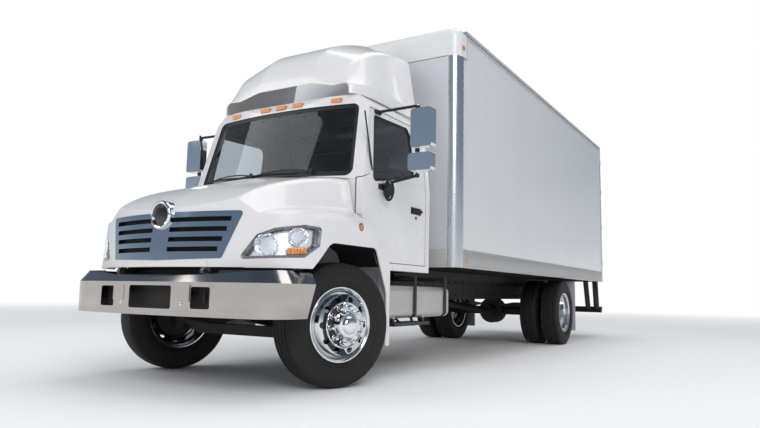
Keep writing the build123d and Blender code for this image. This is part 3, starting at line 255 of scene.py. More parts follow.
def second_finish(material, tests, join, colour, metal, centre=(0, 0, 0)):
    """Gives another colour and metal share to a finish where the tests hold. A test compares X, Y, Z, the
    half width or the radius round a centre with a limit, and join says how several are put together."""
    tree, shader, first = opened(material)
    place = add_node(tree, "TexCoord")["Object"]
    apart = add_node(tree, "SeparateXYZ", {0: place})
    half_width = add_node(tree, "Math", {0: apart["X"]}, operation="ABSOLUTE")
    from_centre = add_node(tree, "VectorMath", {0: place, 1: centre}, operation="SUBTRACT")
    flat = add_node(tree, "VectorMath", {0: from_centre[0], 1: (0, 1, 1)}, operation="MULTIPLY")
    radius = add_node(tree, "VectorMath", {0: flat[0]}, operation="LENGTH")
    measures = {"X": apart["X"], "Y": apart["Y"], "Z": apart["Z"], "half width": half_width[0],
                "radius": radius["Value"]}
    mask = None
    for measure, operation, limit in tests:
        past = add_node(tree, "Math", {0: measures[measure], 1: limit}, operation=operation)[0]
        mask = past if mask is None else add_node(tree, "Math", {0: mask, 1: past}, operation=join)[0]
    share = add_node(tree, "MapRange", {"Value": mask, "To Min": shader.inputs["Metallic"].default_value,
                                        "To Max": metal})
    tree.links.new(blend_colours(tree, mask, first, colour), shader.inputs["Base Color"])
    tree.links.new(share[0], shader.inputs["Metallic"])


coach_white, coach_shade = (0.8, 0.79, 0.785), (0.75, 0.74, 0.74)
# Near-black used as painted shade: on the bonnet's lowest front part and inside the front wheels.
painted_shade_black = (0.012, 0.012, 0.013)
cab_low, cab_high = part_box("cab_shell")
cabin_middle = (0, (cab_low.y + cab_high.y) / 2 + 0.1, 1.8)
cab_paint = surface("cab_paint", coach_white, coach_shade, rough=0.3, coat=0.7, scale=6, depth=0.00001,
                    dust=0.12)
# The cab's inward faces: dark trim, made near-black also as painted shade inside the cab.
dark_trim_and_painted_shade_inside(cab_paint, cabin_middle, (0.012, 0.0125, 0.014))
moulding_paint = surface("moulding_paint", coach_white, coach_shade, rough=0.32, coat=0.6, scale=6,
                         depth=0.00001, dust=0.12)
bonnet_paint_shaded_lip = moulding_paint.copy()
bonnet_paint_shaded_lip.name = "bonnet_paint_shaded_lip"
# The bonnet's lowest front part is painted black, as painted shade in the slot above the bumper.
second_finish(bonnet_paint_shaded_lip, [("Y", "LESS_THAN", axle_y - 0.9), ("Z", "LESS_THAN", 0.925)], "MINIMUM",
              painted_shade_black, 0)
paint_node(cab_paint, "cab_shell", "door_left", "door_right")
paint_node(bonnet_paint_shaded_lip, "hood_shell")
paint_node(moulding_paint, "roof_fairing")


def add_piece(name, bm, material, body, smooth=35):
    """Turns a finished bmesh into a piece on a body; edges sharper than smooth degrees stay sharp."""
    mesh = bpy.data.meshes.new(name)
    bm.to_mesh(mesh)
    bm.free()
    mesh.materials.append(material)
    mesh.shade_smooth()
    mesh.set_sharp_from_angle(angle=math.radians(smooth))
    piece = bpy.data.objects.new(name, mesh)
    bpy.context.scene.collection.objects.link(piece)
    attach(piece, body)
    return piece


def add_block(bm, low, high, bevel=0.0, segments=2):
    """A box between two corners, its edges rounded."""
    low, high = Vector(low), Vector(high)
    size = Matrix.Diagonal((*[abs(c) for c in high - low], 1))
    corners = bmesh.ops.create_cube(bm, size=1, matrix=Matrix.Translation((low + high) / 2) @ size)["verts"]
    if bevel:
        edges = list({e for v in corners for e in v.link_edges})
        bmesh.ops.bevel(bm, geom=edges, offset=bevel, segments=segments, affect="EDGES", profile=0.5,
                        material=-1)


def add_rod(bm, start, end, radius, end_radius=None, segments=16):
    """A round bar or cone between two points."""
    start, end = Vector(start), Vector(end)
    along = end - start
    turn = along.to_track_quat("Z", "Y").to_matrix().to_4x4()
    bmesh.ops.create_cone(bm, cap_ends=True, segments=segments, radius1=radius,
                          radius2=radius if end_radius is None else end_radius, depth=along.length,
                          matrix=Matrix.Translation((start + end) / 2) @ turn)


def add_lathe(bm, origin, axis, profile, steps=48):
    """Spins a closed outline of (along the axis, radius) round an axis."""
    axis = Vector(axis).normalized()
    side = axis.orthogonal().normalized()
    ring = [bm.verts.new(Vector(origin) + axis * along + side * radius) for along, radius in profile]
    edges = [bm.edges.new((a, b)) for a, b in zip(ring, ring[1:] + ring[:1])]
    bmesh.ops.spin(bm, geom=ring + edges, cent=Vector(origin), axis=axis, angle=math.tau, steps=steps,
                   use_merge=True)
    bmesh.ops.remove_doubles(bm, verts=bm.verts[:], dist=1e-6)
    bmesh.ops.recalc_face_normals(bm, faces=bm.faces[:])


# Ladder frame and running gear: pressed steel rails, beam axle, springs and shafts under black chassis
# paint, bolted together through their webs, with road film on everything that hangs low.
chassis_paint = surface("chassis_paint", (0.008, 0.008, 0.0085), (0.015, 0.0145, 0.014), rough=0.5,
                        spread=0.25, scale=30, depth=0.0003, dust=0.08, specular=0.2)
cast_paint = surface("cast_paint", (0.02, 0.021, 0.022), (0.035, 0.034, 0.033), rough=0.6, spread=0.2,
                     scale=50, depth=0.0008, dust=0.1, specular=0.25)
paint_node(chassis_paint, "chassis_frame", "leaf_springs", "prop_shaft", "battery_box", "exhaust",
           "rear_step", "tie_rod")
paint_node(cast_paint, "front_axle", "rear_axle", "engine_block", "knuckle_left", "knuckle_right")

frame_low, frame_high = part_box("chassis_frame")
rail_face = 0.432
bolt_radius, bolt_height, bolt_pitch = 0.011, 0.012, 0.22
bm = bmesh.new()
y = frame_low.y + 0.12
while y < frame_high.y - 0.1:
    for side in (-1, 1):
        for z in (frame_low.z + 0.055, frame_high.z - 0.06):
            add_rod(bm, (side * rail_face, y, z), (side * (rail_face + bolt_height), y, z), bolt_radius,
                    segments=6)
    y += bolt_pitch
add_piece("frame_bolts", bm, chassis_paint, "chassis", smooth=20)

# Air tank: a rolled steel cylinder strapped under the right rail, behind the silencer.
tank_x, tank_z, tank_radius, strap_width = -0.64, 0.72, 0.12, 0.03
strap_radius = tank_radius + 0.006
tank_front = (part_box("rear_axle")[0].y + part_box("rear_axle")[1].y) / 2 - 1.95
tank_outline = [(0, 0), (0, 0.045), (0.012, 0.09), (0.05, tank_radius), (0.62, tank_radius), (0.66, 0.09),
                (0.67, 0.045), (0.67, 0)]
strap_outline = [(0, tank_radius), (0, strap_radius), (strap_width, strap_radius), (strap_width, tank_radius)]
bm = bmesh.new()
add_lathe(bm, (tank_x, tank_front, tank_z), (0, 1, 0), tank_outline, 32)
for y in (tank_front + 0.15, tank_front + 0.5):
    add_lathe(bm, (tank_x, y, tank_z), (0, 1, 0), strap_outline, 32)
    add_block(bm, (tank_x + 0.03, y, tank_z + 0.1), (-rail_face, y + strap_width, tank_z + 0.15))
add_piece("air_tank", bm, chassis_paint, "chassis")

# Wheels: forged and polished aluminium discs on a hub, each with ten nuts under bright caps on one circle,
# a chrome hub cover inside them and a valve by the rim.
polished = surface("polished_aluminium", (0.8, 0.81, 0.83), (0.7, 0.71, 0.73), rough=0.14, spread=0.08,
                   metal=1.0, scale=6, depth=0.00003, dust=0.1)
chrome = surface("chrome", (0.86, 0.88, 0.9), (0.8, 0.82, 0.85), rough=0.06, spread=0.05, metal=1.0, scale=5,
                 depth=0.00002, dust=0.06)
paint_node(polished, "rear_wheels_left", "rear_wheels_right")
nut_count, nut_circle, nut_radius, nut_length, rear_nut_length = 10, 0.1425, 0.0205, 0.05, 0.042
disc_offset, disc_thickness, rear_spread = 0.168, 0.014, 0.168
joint_of = {joint["name"]: joint for joint in frame["joints"]}
# Inside the front wheels, behind the disc's back face and within the rim, the aluminium is painted black as
# painted shade, so the hand holes read dark.
front_polish_painted_shade = polished.copy()
front_polish_painted_shade.name = "front_polish_painted_shade"
front_hub = Vector(joint_of["front_wheel_left_spin"]["pos_m"])
behind_disc = front_hub.x + disc_offset - disc_thickness - 0.0005
second_finish(front_polish_painted_shade, [("half width", "LESS_THAN", behind_disc), ("radius", "LESS_THAN", 0.245)],
              "MINIMUM", painted_shade_black, 0, front_hub)
paint_node(front_polish_painted_shade, "front_wheel_left", "front_wheel_right")


def add_nuts(bm, face, axis, count, circle, radius, length):
    """A ring of bright nut caps with domed ends."""
    axis = Vector(axis).normalized()
    side = axis.orthogonal().normalized()
    profile = [(0, 0), (0, radius * 1.12), (0.005, radius * 1.12), (0.007, radius),
               (length * 0.75, radius * 0.92), (length * 0.94, radius * 0.7), (length, radius * 0.3),
               (length, 0)]
    for number in range(count):
        spoke = Matrix.Rotation(math.tau * number / count, 3, axis) @ side
        add_lathe(bm, face + spoke * circle, axis, profile, 10)


sides = (("left", 1), ("right", -1))
hub_cover = [(0.001, 0), (0.001, 0.112), (0.012, 0.114), (0.03, 0.105), (0.052, 0.1), (0.06, 0.094),
             (0.064, 0.072), (0.078, 0.066), (0.09, 0.05), (0.094, 0.03), (0.095, 0)]
disc_ring = [(-0.004, 0.168), (0.004, 0.17), (0.007, 0.178), (0.004, 0.184), (-0.004, 0.186)]
rear_cap = [(-0.13, 0.079), (-0.13, 0.096), (-0.115, 0.092), (-0.1, 0.082), (-0.012, 0.08), (0.001, 0.074),
            (0.004, 0.066), (0.014, 0.062), (0.014, 0), (-0.02, 0)]
for side_name, side in sides:
    joint = joint_of[f"front_wheel_{side_name}_spin"]
    axis = Vector(joint["axis"]) * side
    centre = Vector(joint["pos_m"])
    face = centre + axis * disc_offset
    bm = bmesh.new()
    add_nuts(bm, face, axis, nut_count, nut_circle, nut_radius, nut_length)
    add_lathe(bm, face, axis, hub_cover)
    add_piece(f"front_hub_cover_{side_name}", bm, chrome, f"front_wheel_{side_name}")
    bm = bmesh.new()
    add_lathe(bm, face, axis, disc_ring)
    valve = centre + axis * 0.13 + axis.orthogonal().normalized() * 0.245
    add_rod(bm, valve, valve + axis * 0.03, 0.005, segments=10)
    add_piece(f"front_disc_ring_{side_name}", bm, polished, f"front_wheel_{side_name}")

    centre = Vector(joint_of[f"rear_wheels_{side_name}_spin"]["pos_m"])
    axis = Vector((side, 0, 0))
    nose = centre + axis * 0.15
    bm = bmesh.new()
    add_nuts(bm, centre + axis * disc_thickness, axis, nut_count, nut_circle, nut_radius, rear_nut_length)
    add_lathe(bm, nose, axis, rear_cap)
    add_nuts(bm, nose + axis * 0.001, axis, 8, 0.055, 0.008, 0.012)
    add_piece(f"rear_hub_cover_{side_name}", bm, polished, f"rear_wheels_{side_name}")

# Tyres: black rubber on 22.5 inch rims. The steer tyres have five straight ribs, and the driven ones have
# shoulder blocks cut by cross grooves. The side walls carry plain raised rings and no lettering.
rubber = surface("tyre_rubber", (0.013, 0.013, 0.0135), (0.022, 0.0215, 0.021), rough=0.62, spread=0.16,
                 scale=90, depth=0.0004, dust=0.12, dust_top=1.0, dust_colour=(0.06, 0.053, 0.047),
                 specular=0.25)
tyre_radius, tread_half = 0.5, 0.113
bead_half, bead_radius, tyre_lip = 0.102, 0.288, 0.2995
groove_depth, groove_half = 0.013, 0.0055


def side_wall(way):
    """One side's outline from tread edge to bead, with its raised rings."""
    outline = [(tread_half, 0.488), (0.1185, 0.478), (0.1245, 0.458), (0.1265, 0.4575), (0.128, 0.452),
               (0.1275, 0.4465), (0.1315, 0.426), (0.1342, 0.4), (0.1348, 0.385), (0.1335, 0.366),
               (0.1305, 0.35), (0.1318, 0.3485), (0.1308, 0.343), (0.1278, 0.3405), (0.1205, 0.322),
               (0.1155, 0.314), (0.1175, 0.311), (0.116, 0.306), (0.1085, tyre_lip + 0.0015),
               (bead_half, tyre_lip), (bead_half, bead_radius)]
    return [(way * x, r) for x, r in outline]


def tread_line(grooves):
    """The crown from one edge to the other, with square grooves cut at the given places."""
    def crown(x):
        return tyre_radius - 0.012 * (x / tread_half) ** 2 * 0.75
    line = [(-0.106, crown(0.106) - 0.001)]
    for x in grooves:
        line += [(x - groove_half, crown(x)), (x - groove_half * 0.7, crown(x) - groove_depth),
                 (x + groove_half * 0.7, crown(x) - groove_depth), (x + groove_half, crown(x))]
    return line + [(0.106, crown(0.106) - 0.001)]


def add_tyre(bm, centre, axis, grooves, steps):
    """A closed tyre: crown, both side walls and the band at its beads."""
    profile = tread_line(grooves) + side_wall(1) + side_wall(-1)[::-1]
    add_lathe(bm, centre, axis, profile, steps)


def add_cross_cuts(bm, centre, axis, places, count, height, width, length):
    """Raised shoulder blocks left by the cross grooves of a driven tyre."""
    axis = Vector(axis).normalized()
    side = axis.orthogonal().normalized()
    local = Matrix((axis, side.cross(axis), side)).transposed().to_4x4()
    for number in range(count):
        turn = Matrix.Rotation(math.tau * number / count, 4, axis)
        for x, skew in places:
            rise = Matrix.Translation((x, 0, tyre_radius - height / 2 - 0.0035))
            slab = Matrix.Translation(centre) @ turn @ local @ rise
            block = Matrix.Rotation(skew, 4, "Z") @ Matrix.Diagonal((width, length, height, 1))
            bmesh.ops.create_cube(bm, size=1, matrix=slab @ block)


steer_grooves = (-0.072, -0.026, 0.026, 0.072)
drive_grooves = (-0.068, -0.023, 0.023, 0.068)
shoulder_places = [(x, 0.25 * way) for way in (-1, 1) for x in (way * 0.092, way * 0.0455)]
for side_name, side in sides:
    joint = joint_of[f"front_wheel_{side_name}_spin"]
    body = f"front_wheel_{side_name}"
    bm = bmesh.new()
    add_tyre(bm, joint["pos_m"], Vector(joint["axis"]), steer_grooves, 112)
    steer_tyre = add_piece(f"steer_tyre_{side_name}", bm, rubber, body, smooth=50)
    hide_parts(f"front_tyre_{side_name}")
    joint = joint_of[f"rear_wheels_{side_name}_spin"]
    body = f"rear_wheels_{side_name}"
    bm = bmesh.new()
    for spread in (-rear_spread, rear_spread):
        middle = Vector(joint["pos_m"]) + Vector((side * spread, 0, 0))
        add_tyre(bm, middle, (1, 0, 0), drive_grooves, 96)
        add_cross_cuts(bm, middle, (1, 0, 0), shoulder_places, 50, 0.005, 0.032, 0.043)
    drive_tyres = add_piece(f"drive_tyres_{side_name}", bm, rubber, body, smooth=50)
    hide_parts(f"rear_tyres_{side_name}")

# Front bumper: one pressed and chromed steel channel, bolted to the rails' ends. Behind its three
# openings stands a black steel backing plate.
# The chrome's colour is darkened and warmed as a painted reflection of a dark road.
bumper_chrome_painted_reflection = surface("bumper_chrome_painted_reflection", (0.5, 0.48, 0.465), (0.42, 0.4, 0.39), rough=0.1, spread=0.06,
                         metal=1.0, scale=5, depth=0.00001, dust=0.1)
paint_node(bumper_chrome_painted_reflection, "front_bumper")
bumper_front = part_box("front_bumper")[0].y
black_plastic = surface("black_plastic", (0.012, 0.012, 0.013), (0.025, 0.025, 0.026), rough=0.55, spread=0.2,
                        scale=140, depth=0.0003, dust=0.1, specular=0.3)
bm = bmesh.new()
plate_y = bumper_front + 0.1
add_block(bm, (-0.62, plate_y, 0.6), (0.62, plate_y + 0.004, 0.8), 0.002)
for x in (-0.5, 0.5):
    add_block(bm, (x - 0.012, plate_y - 0.02, 0.66), (x + 0.012, plate_y, 0.74), 0.004)
add_piece("bumper_backing", bm, black_plastic, "chassis")

bumper_arc = 6.3
bolt_outline = [(-0.004, 0), (-0.004, 0.014), (0.001, 0.013), (0.004, 0.008), (0.005, 0)]
bm = bmesh.new()
for x in (-0.335, 0.335):
    for z in (0.65, 0.76):
        sag = bumper_arc - math.sqrt(bumper_arc ** 2 - x ** 2)
        add_lathe(bm, (x, bumper_front + sag, z), (0, -1, 0), bolt_outline, 16)
add_piece("bumper_bolts", bm, chrome, "chassis")

# Bumper valance: a black strip that closes the slot between the bumper's top and the bonnet's lip, standing
# for a rubber filler and for the painted shade in that slot.


def ray_target(node):
    """The mesh of a CAD node, ready to be hit by rays."""
    bm = bmesh.new()
    bm.from_mesh(nodes[node].data)
    target = BVHTree.FromBMesh(bm)
    bm.free()
    return target


def join_rings(bm, first, second):
    """Faces between two rings that have the same number of vertices."""
    for number in range(len(first)):
        following = (number + 1) % len(first)
        bm.faces.new((first[number], first[following], second[following], second[number]))


bumper = ray_target("front_bumper")
strip_low, strip_thickness = 0.8, 0.003
bm = bmesh.new()
before = []
for step in range(41):
    x = -1.0 + 0.05 * step
    hits = (bumper.ray_cast(Vector((x, axle_y - 1.3, z)), Vector((0, 1, 0)))[0]
            for z in (0.9, 0.89, 0.88, 0.87, 0.86, 0.85, 0.84))
    edge = next((hit for hit in hits if hit), None)
    if edge is None:
        continue
    front = edge.y + 0.004
    back = front + strip_thickness
    strip_top = 0.866 if abs(x) < 0.62 else 0.9
    places = ((front, strip_low), (front, strip_top), (back, strip_top), (back, strip_low))
    corners = [bm.verts.new((x, y, z)) for y, z in places]
    if before:
        join_rings(bm, before, corners)
    else:
        bm.faces.new(corners)
    before = corners
bm.faces.new(before[::-1])
bmesh.ops.recalc_face_normals(bm, faces=bm.faces[:])
add_piece("bumper_valance", bm, black_plastic, "chassis")

# Grille: bright plated plastic with slots and a plain disc, backed by a black insect screen.
grille_finish = surface("grille_plating", (0.56, 0.62, 0.7), (0.48, 0.54, 0.62), rough=0.12, spread=0.06,
                        metal=1.0, scale=7, depth=0.00003, dust=0.08)
paint_node(grille_finish, "grille")
nose_arc, nose_lean = 2.3, 0.1
screen_low, screen_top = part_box("grille")[0].z + 0.02, 1.335
screen_front = axle_y - 1.035 + 0.036
bm = bmesh.new()
columns, rows = 36, 6
sheet = []
for row in range(rows + 1):
    z = screen_low + (screen_top - screen_low) * row / rows
    half = 0.57 + 0.13 * row / rows
    line = []
    for column in range(columns + 1):
        x = half * (2 * column / columns - 1)
        sag = nose_arc - math.sqrt(nose_arc ** 2 - x ** 2)
        line.append(bm.verts.new((x, screen_front + sag + nose_lean * (z - 0.918), z)))
    sheet.append(line)
for low_line, high_line in zip(sheet, sheet[1:]):
    for column in range(columns):
        bm.faces.new((low_line[column], low_line[column + 1], high_line[column + 1], high_line[column]))
bmesh.ops.solidify(bm, geom=bm.faces[:], thickness=0.004)
bmesh.ops.recalc_face_normals(bm, faces=bm.faces[:])
add_piece("insect_screen", bm, black_plastic, "hood")

# Disc on the grille: a plain polished ring round a dark glossy dish.
gloss_black = surface("gloss_black", (0.008, 0.008, 0.009), (0.012, 0.012, 0.013), rough=0.12, spread=0.05,
                      coat=0.5, scale=20, depth=0.00003, dust=0.05)
disc_z, disc_radius, disc_front = 1.326, 0.111, axle_y - 1.021
bm = bmesh.new()
add_lathe(bm, (0, disc_front, disc_z), (0, -1, 0),
          [(-0.02, disc_radius + 0.001), (-0.003, disc_radius + 0.002), (0.008, disc_radius - 0.004),
           (0.012, disc_radius - 0.012), (0.008, disc_radius - 0.021), (-0.004, disc_radius - 0.025),
           (-0.02, disc_radius - 0.024)])
add_piece("disc_rim", bm, chrome, "hood")
bm = bmesh.new()
add_lathe(bm, (0, disc_front, disc_z), (0, -1, 0),
          [(-0.02, 0), (-0.02, 0.088), (-0.008, 0.088), (-0.004, 0.06), (-0.001, 0.03), (0, 0)])
add_piece("disc_dish", bm, gloss_black, "hood")

# Headlamps: a clear moulded cover over a dark bezel, two bright reflector bowls with bulbs, and an
# amber turn lamp in the lower outer corner, all in one sealed body that fills its socket.
lamp_origin = Vector((0.95, axle_y - 0.75, 0))
lamp_along, lamp_out = Vector((0.70711, 0.70711, 0)), Vector((0.70711, -0.70711, 0))
clear_glass, tree = new_material("clear_cover")
flutes = add_node(tree, "Group", {"Scale": 8}, node_tree=grain)
bump = add_node(tree, "Bump", {"Height": flutes[0], "Strength": 0.4, "Distance": 0.0002})
add_shader(tree, {"Base Color": (0.97, 0.98, 1, 1), "Roughness": 0.03, "IOR": 1.12,
                  "Transmission Weight": 1.0, "Normal": bump[0]})
bezel_grey = surface("bezel_grey", (0.13, 0.135, 0.15), (0.2, 0.205, 0.22), rough=0.25, spread=0.1, metal=0.6,
                     scale=30, depth=0.0001, dust=0)
well_silver = surface("well_silver", (0.55, 0.57, 0.61), (0.75, 0.77, 0.8), rough=0.3, spread=0.15, metal=1.0,
                      scale=25, depth=0.0004, dust=0)
amber_plastic = surface("amber_plastic", (0.62, 0.2, 0.03), (0.75, 0.3, 0.07), rough=0.18, spread=0.1,
                        coat=0.4, scale=60, depth=0.0006, stretch=(1, 1, 6), dust=0)
reflector, tree = new_material("faceted_reflector")
place = add_node(tree, "TexCoord")
facets = add_node(tree, "TexVoronoi", {"Vector": place["Object"], "Scale": 38})
shine = blend_colours(tree, facets["Color"], (0.55, 0.58, 0.64), (0.95, 0.96, 0.98))
gloss = add_node(tree, "MapRange", {"Value": facets["Distance"], "To Min": 0.08, "To Max": 0.25})
bump = add_node(tree, "Bump", {"Height": facets["Distance"], "Strength": 1, "Distance": 0.006})
add_shader(tree, {"Base Color": shine, "Metallic": 1.0, "Roughness": gloss[0], "Normal": bump[0]})


def lamp_skin(side):
    """The lamp's outward faces on one side, copied from the CAD solid as one joined sheet."""
    bm = bmesh.new()
    bm.from_mesh(nodes["headlamps"].data)
    bmesh.ops.remove_doubles(bm, verts=bm.verts[:], dist=1e-5)
    out_way = Vector((side * lamp_out.x, lamp_out.y, 0))
    extra = [f for f in bm.faces if f.normal.dot(out_way) < 0.35 or f.calc_center_median().x * side < 0]
    bmesh.ops.delete(bm, geom=extra, context="FACES")
    return bm, out_way


def rim_loop(bm, facing):
    """The sheet's open edge as an ordered loop of vertices, clockwise as seen from where it faces."""
    edges = [e for e in bm.edges if e.is_boundary]
    loops = []
    while edges:
        loop = list(edges.pop().verts)
        while True:
            following = next((e for e in loop[-1].link_edges if e in edges), None)
            if following is None:
                break
            edges.remove(following)
            loop.append(following.other_vert(loop[-1]))
        if loop[-1] == loop[0]:
            loop.pop()
        loops.append(loop)
    longest = max(loops, key=lambda l: sum((a.co - b.co).length for a, b in zip(l, l[1:])))
    turn = sum((a.co.cross(b.co) for a, b in zip(longest, longest[1:] + longest[:1])), Vector())
    return longest[::-1] if turn.dot(facing) > 0 else longest


def band_ring(loop_points, facing, width, proud, thickness):
    """A flat moulding that follows a loop of points, its inner edge drawn in by its width."""
    bm = bmesh.new()
    facing = Vector(facing).normalized()
    count = len(loop_points)
    middle = sum(loop_points, Vector()) / count
    inner_points = []
    for number, point in enumerate(loop_points):
        before = (point - loop_points[number - 1]).normalized()
        after = (loop_points[(number + 1) % count] - point).normalized()
        tangent = (before + after).normalized()
        inward = facing.cross(tangent).normalized()
        if inward.dot(middle - point) < 0:
            inward.negate()
        corner = max(0.5, math.cos(before.angle(after) / 2))
        inner_points.append(point + inward * width / corner)
    outer = [bm.verts.new(p + facing * proud) for p in loop_points]
    inner = [bm.verts.new(p + facing * proud) for p in inner_points]
    join_rings(bm, outer, inner)
    bmesh.ops.recalc_face_normals(bm, faces=bm.faces[:])
    if sum(f.normal.dot(facing) for f in bm.faces) < 0:
        bmesh.ops.reverse_faces(bm, faces=bm.faces[:])
    bmesh.ops.solidify(bm, geom=bm.faces[:], thickness=thickness)
    bmesh.ops.recalc_face_normals(bm, faces=bm.faces[:])
    return bm


bowls = [(-0.075, 1.088, 0.084, 0.075), (0.155, 1.158, 0.066, 0.06)]  # along, z, radius, depth
for side_name, side in sides:
    bm, out_way = lamp_skin(side)
    along_way = Vector((side * lamp_along.x, lamp_along.y, 0))
    origin = Vector((side * lamp_origin.x, lamp_origin.y, 0))
    skin_points = [v.co.copy() for v in rim_loop(bm, out_way)]
    skin_tree = BVHTree.FromBMesh(bm)

    def on_skin(along, z, sink):
        """The point of the cover above a place in the lamp, sunk behind it."""
        start = origin + along_way * along + Vector((0, 0, z)) + out_way * 0.5
        hit = skin_tree.ray_cast(start, -out_way)[0]
        return (hit if hit else start - out_way * 0.5) - out_way * sink

    cover = bm.copy()
    bmesh.ops.solidify(cover, geom=cover.faces[:], thickness=0.003)
    bmesh.ops.recalc_face_normals(cover, faces=cover.faces[:])
    cover_piece = add_piece(f"lamp_cover_{side_name}", cover, clear_glass, "hood")
    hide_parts("headlamps")
    bm.free()
    well = bmesh.new()
    middle = sum(skin_points, Vector()) / len(skin_points)
    brim = [well.verts.new(p) for p in skin_points]
    sunk = [well.verts.new(middle + (p - middle) * 0.93 - out_way * 0.06) for p in skin_points]
    join_rings(well, brim, sunk)
    bmesh.ops.triangulate(well, faces=[well.faces.new(sunk)])
    bmesh.ops.recalc_face_normals(well, faces=well.faces[:])
    add_piece(f"lamp_well_{side_name}", well, well_silver, "hood", smooth=30)
    ring = band_ring(skin_points, out_way, 0.02, -0.0055, 0.002)
    add_piece(f"lamp_bezel_{side_name}", ring, bezel_grey, "hood")
    bm = bmesh.new()
    for along, z, radius, depth in bowls:
        mouth = on_skin(along, z, 0.03)
        bowl = [(-depth * (1 - (r / radius) ** 2), r)
                for r in (0.012, radius * 0.4, radius * 0.7, radius * 0.9, radius)]
        shell = bowl + [(0, radius + 0.004)] + [(a - 0.004, r + 0.003) for a, r in bowl[::-1]]
        add_lathe(bm, mouth, out_way, shell, 40)
    add_piece(f"lamp_bowls_{side_name}", bm, reflector, "hood")
    bm = bmesh.new()
    for along, z, radius, depth in bowls:
        mouth = on_skin(along, z, 0.03)
        add_rod(bm, mouth - out_way * depth, mouth - out_way * depth * 0.35, 0.009, 0.006)
    add_piece(f"lamp_bulbs_{side_name}", bm, clear_glass, "hood")
    bm = bmesh.new()
    facing = Matrix((along_way, out_way, Vector((0, 0, 1)))).transposed().to_4x4()
    for number in range(6):
        centre = on_skin(0.086 + 0.024 * number, 1.047 + 0.002 * number, 0.022)
        prism = Matrix.Translation(centre) @ facing @ Matrix.Diagonal((0.0225, 0.022, 0.05, 1))
        bmesh.ops.create_cube(bm, size=1, matrix=prism)
    bmesh.ops.recalc_face_normals(bm, faces=bm.faces[:])
    bmesh.ops.bevel(bm, geom=bm.edges[:], offset=0.004, segments=2, affect="EDGES", profile=0.5, material=-1)
    add_piece(f"turn_lamp_{side_name}", bm, amber_plastic, "hood")

# Cab glass: dark tinted, glued into its openings, with a black rubber moulding round each pane and two
# wiper arms parked along the foot of the screen.
tinted, tree = new_material("tinted_glass")
waves = add_node(tree, "Group", {"Scale": 2.5}, node_tree=grain)
bump = add_node(tree, "Bump", {"Height": waves[0], "Strength": 0.3, "Distance": 0.0004})
place = add_node(tree, "TexCoord")
apart = add_node(tree, "SeparateXYZ", {0: place["Object"]})
behind = add_node(tree, "Math", {0: apart["Y"], 1: axle_y + 1.4}, operation="GREATER_THAN")
tint = blend_colours(tree, behind[0], (0.6, 0.64, 0.67), (0.04, 0.045, 0.05))
add_shader(tree, {"Base Color": tint, "Roughness": 0.02, "IOR": 1.3, "Transmission Weight": 1.0,
                  "Normal": bump[0]})
paint_node(tinted, "cab_glass", "door_glass_left", "door_glass_right")
seal_rubber = surface("seal_rubber", (0.01, 0.01, 0.011), (0.02, 0.02, 0.02), rough=0.45, spread=0.15,
                      scale=120, depth=0.0001, dust=0.08)


def pane_rim(node, facing):
    """The outline of a pane's outer face, as ordered points."""
    bm = bmesh.new()
    bm.from_mesh(nodes[node].data)
    bmesh.ops.remove_doubles(bm, verts=bm.verts[:], dist=1e-5)
    away = [f for f in bm.faces if f.normal.dot(Vector(facing)) < 0.5]
    bmesh.ops.delete(bm, geom=away, context="FACES")
    points = [v.co.copy() for v in rim_loop(bm, facing)]
    bm.free()
    return points


panes = [  # piece, node, facing, body, width
    ("screen_moulding", "cab_glass", (0, -1, 0.2), "chassis", 0.042),
    ("rear_window_moulding", "cab_glass", (0, 1, 0), "chassis", 0.03),
    ("door_moulding_left", "door_glass_left", (1, 0, 0), "door_left", 0.026),
    ("door_moulding_right", "door_glass_right", (-1, 0, 0), "door_right", 0.026),
]
for piece_name, node, facing, body, width in panes:
    facing = Vector(facing).normalized()
    ring = band_ring(pane_rim(node, facing), facing, width, 0.0035, 0.003)
    add_piece(piece_name, ring, seal_rubber, body)

screen_glass = ray_target("cab_glass")


def on_screen(x, z, proud):
    """A point in front of the windscreen."""
    hit, normal = screen_glass.ray_cast(Vector((x, axle_y - 1.5, z)), Vector((0, 1, 0)))[:2]
    if hit is None:
        hit, normal = Vector((x, axle_y + 0.15, z)), Vector((0, -1, 0))
    return hit + normal * proud


bm = bmesh.new()
wiper_sets = [(0.52, -0.12), (-0.16, -0.76)]  # pivot x, tip x
wiper_foot = 1.83
for pivot_x, tip_x in wiper_sets:
    pivot = on_screen(pivot_x, wiper_foot, 0.03)
    reach = tip_x - pivot_x
    add_rod(bm, pivot - Vector((0, 0, 0.02)), pivot + Vector((0, 0, 0.02)), 0.016)
    arm = [on_screen(pivot_x + reach * t, wiper_foot + 0.028 * math.sin(math.pi * t), 0.028 - 0.008 * t)
           for t in (0, 0.25, 0.5, 0.75, 1)]
    for a, b in zip(arm, arm[1:]):
        add_rod(bm, a, b, 0.007, 0.006, 8)
    blade = [on_screen(pivot_x + reach * (0.25 + 0.95 * t), 1.824 + 0.014 * math.sin(math.pi * t), 0.012)
             for t in (0, 0.2, 0.4, 0.6, 0.8, 1)]
    for a, b in zip(blade, blade[1:]):
        add_rod(bm, a, b, 0.009, segments=6)
add_piece("wipers", bm, seal_rubber, "chassis")

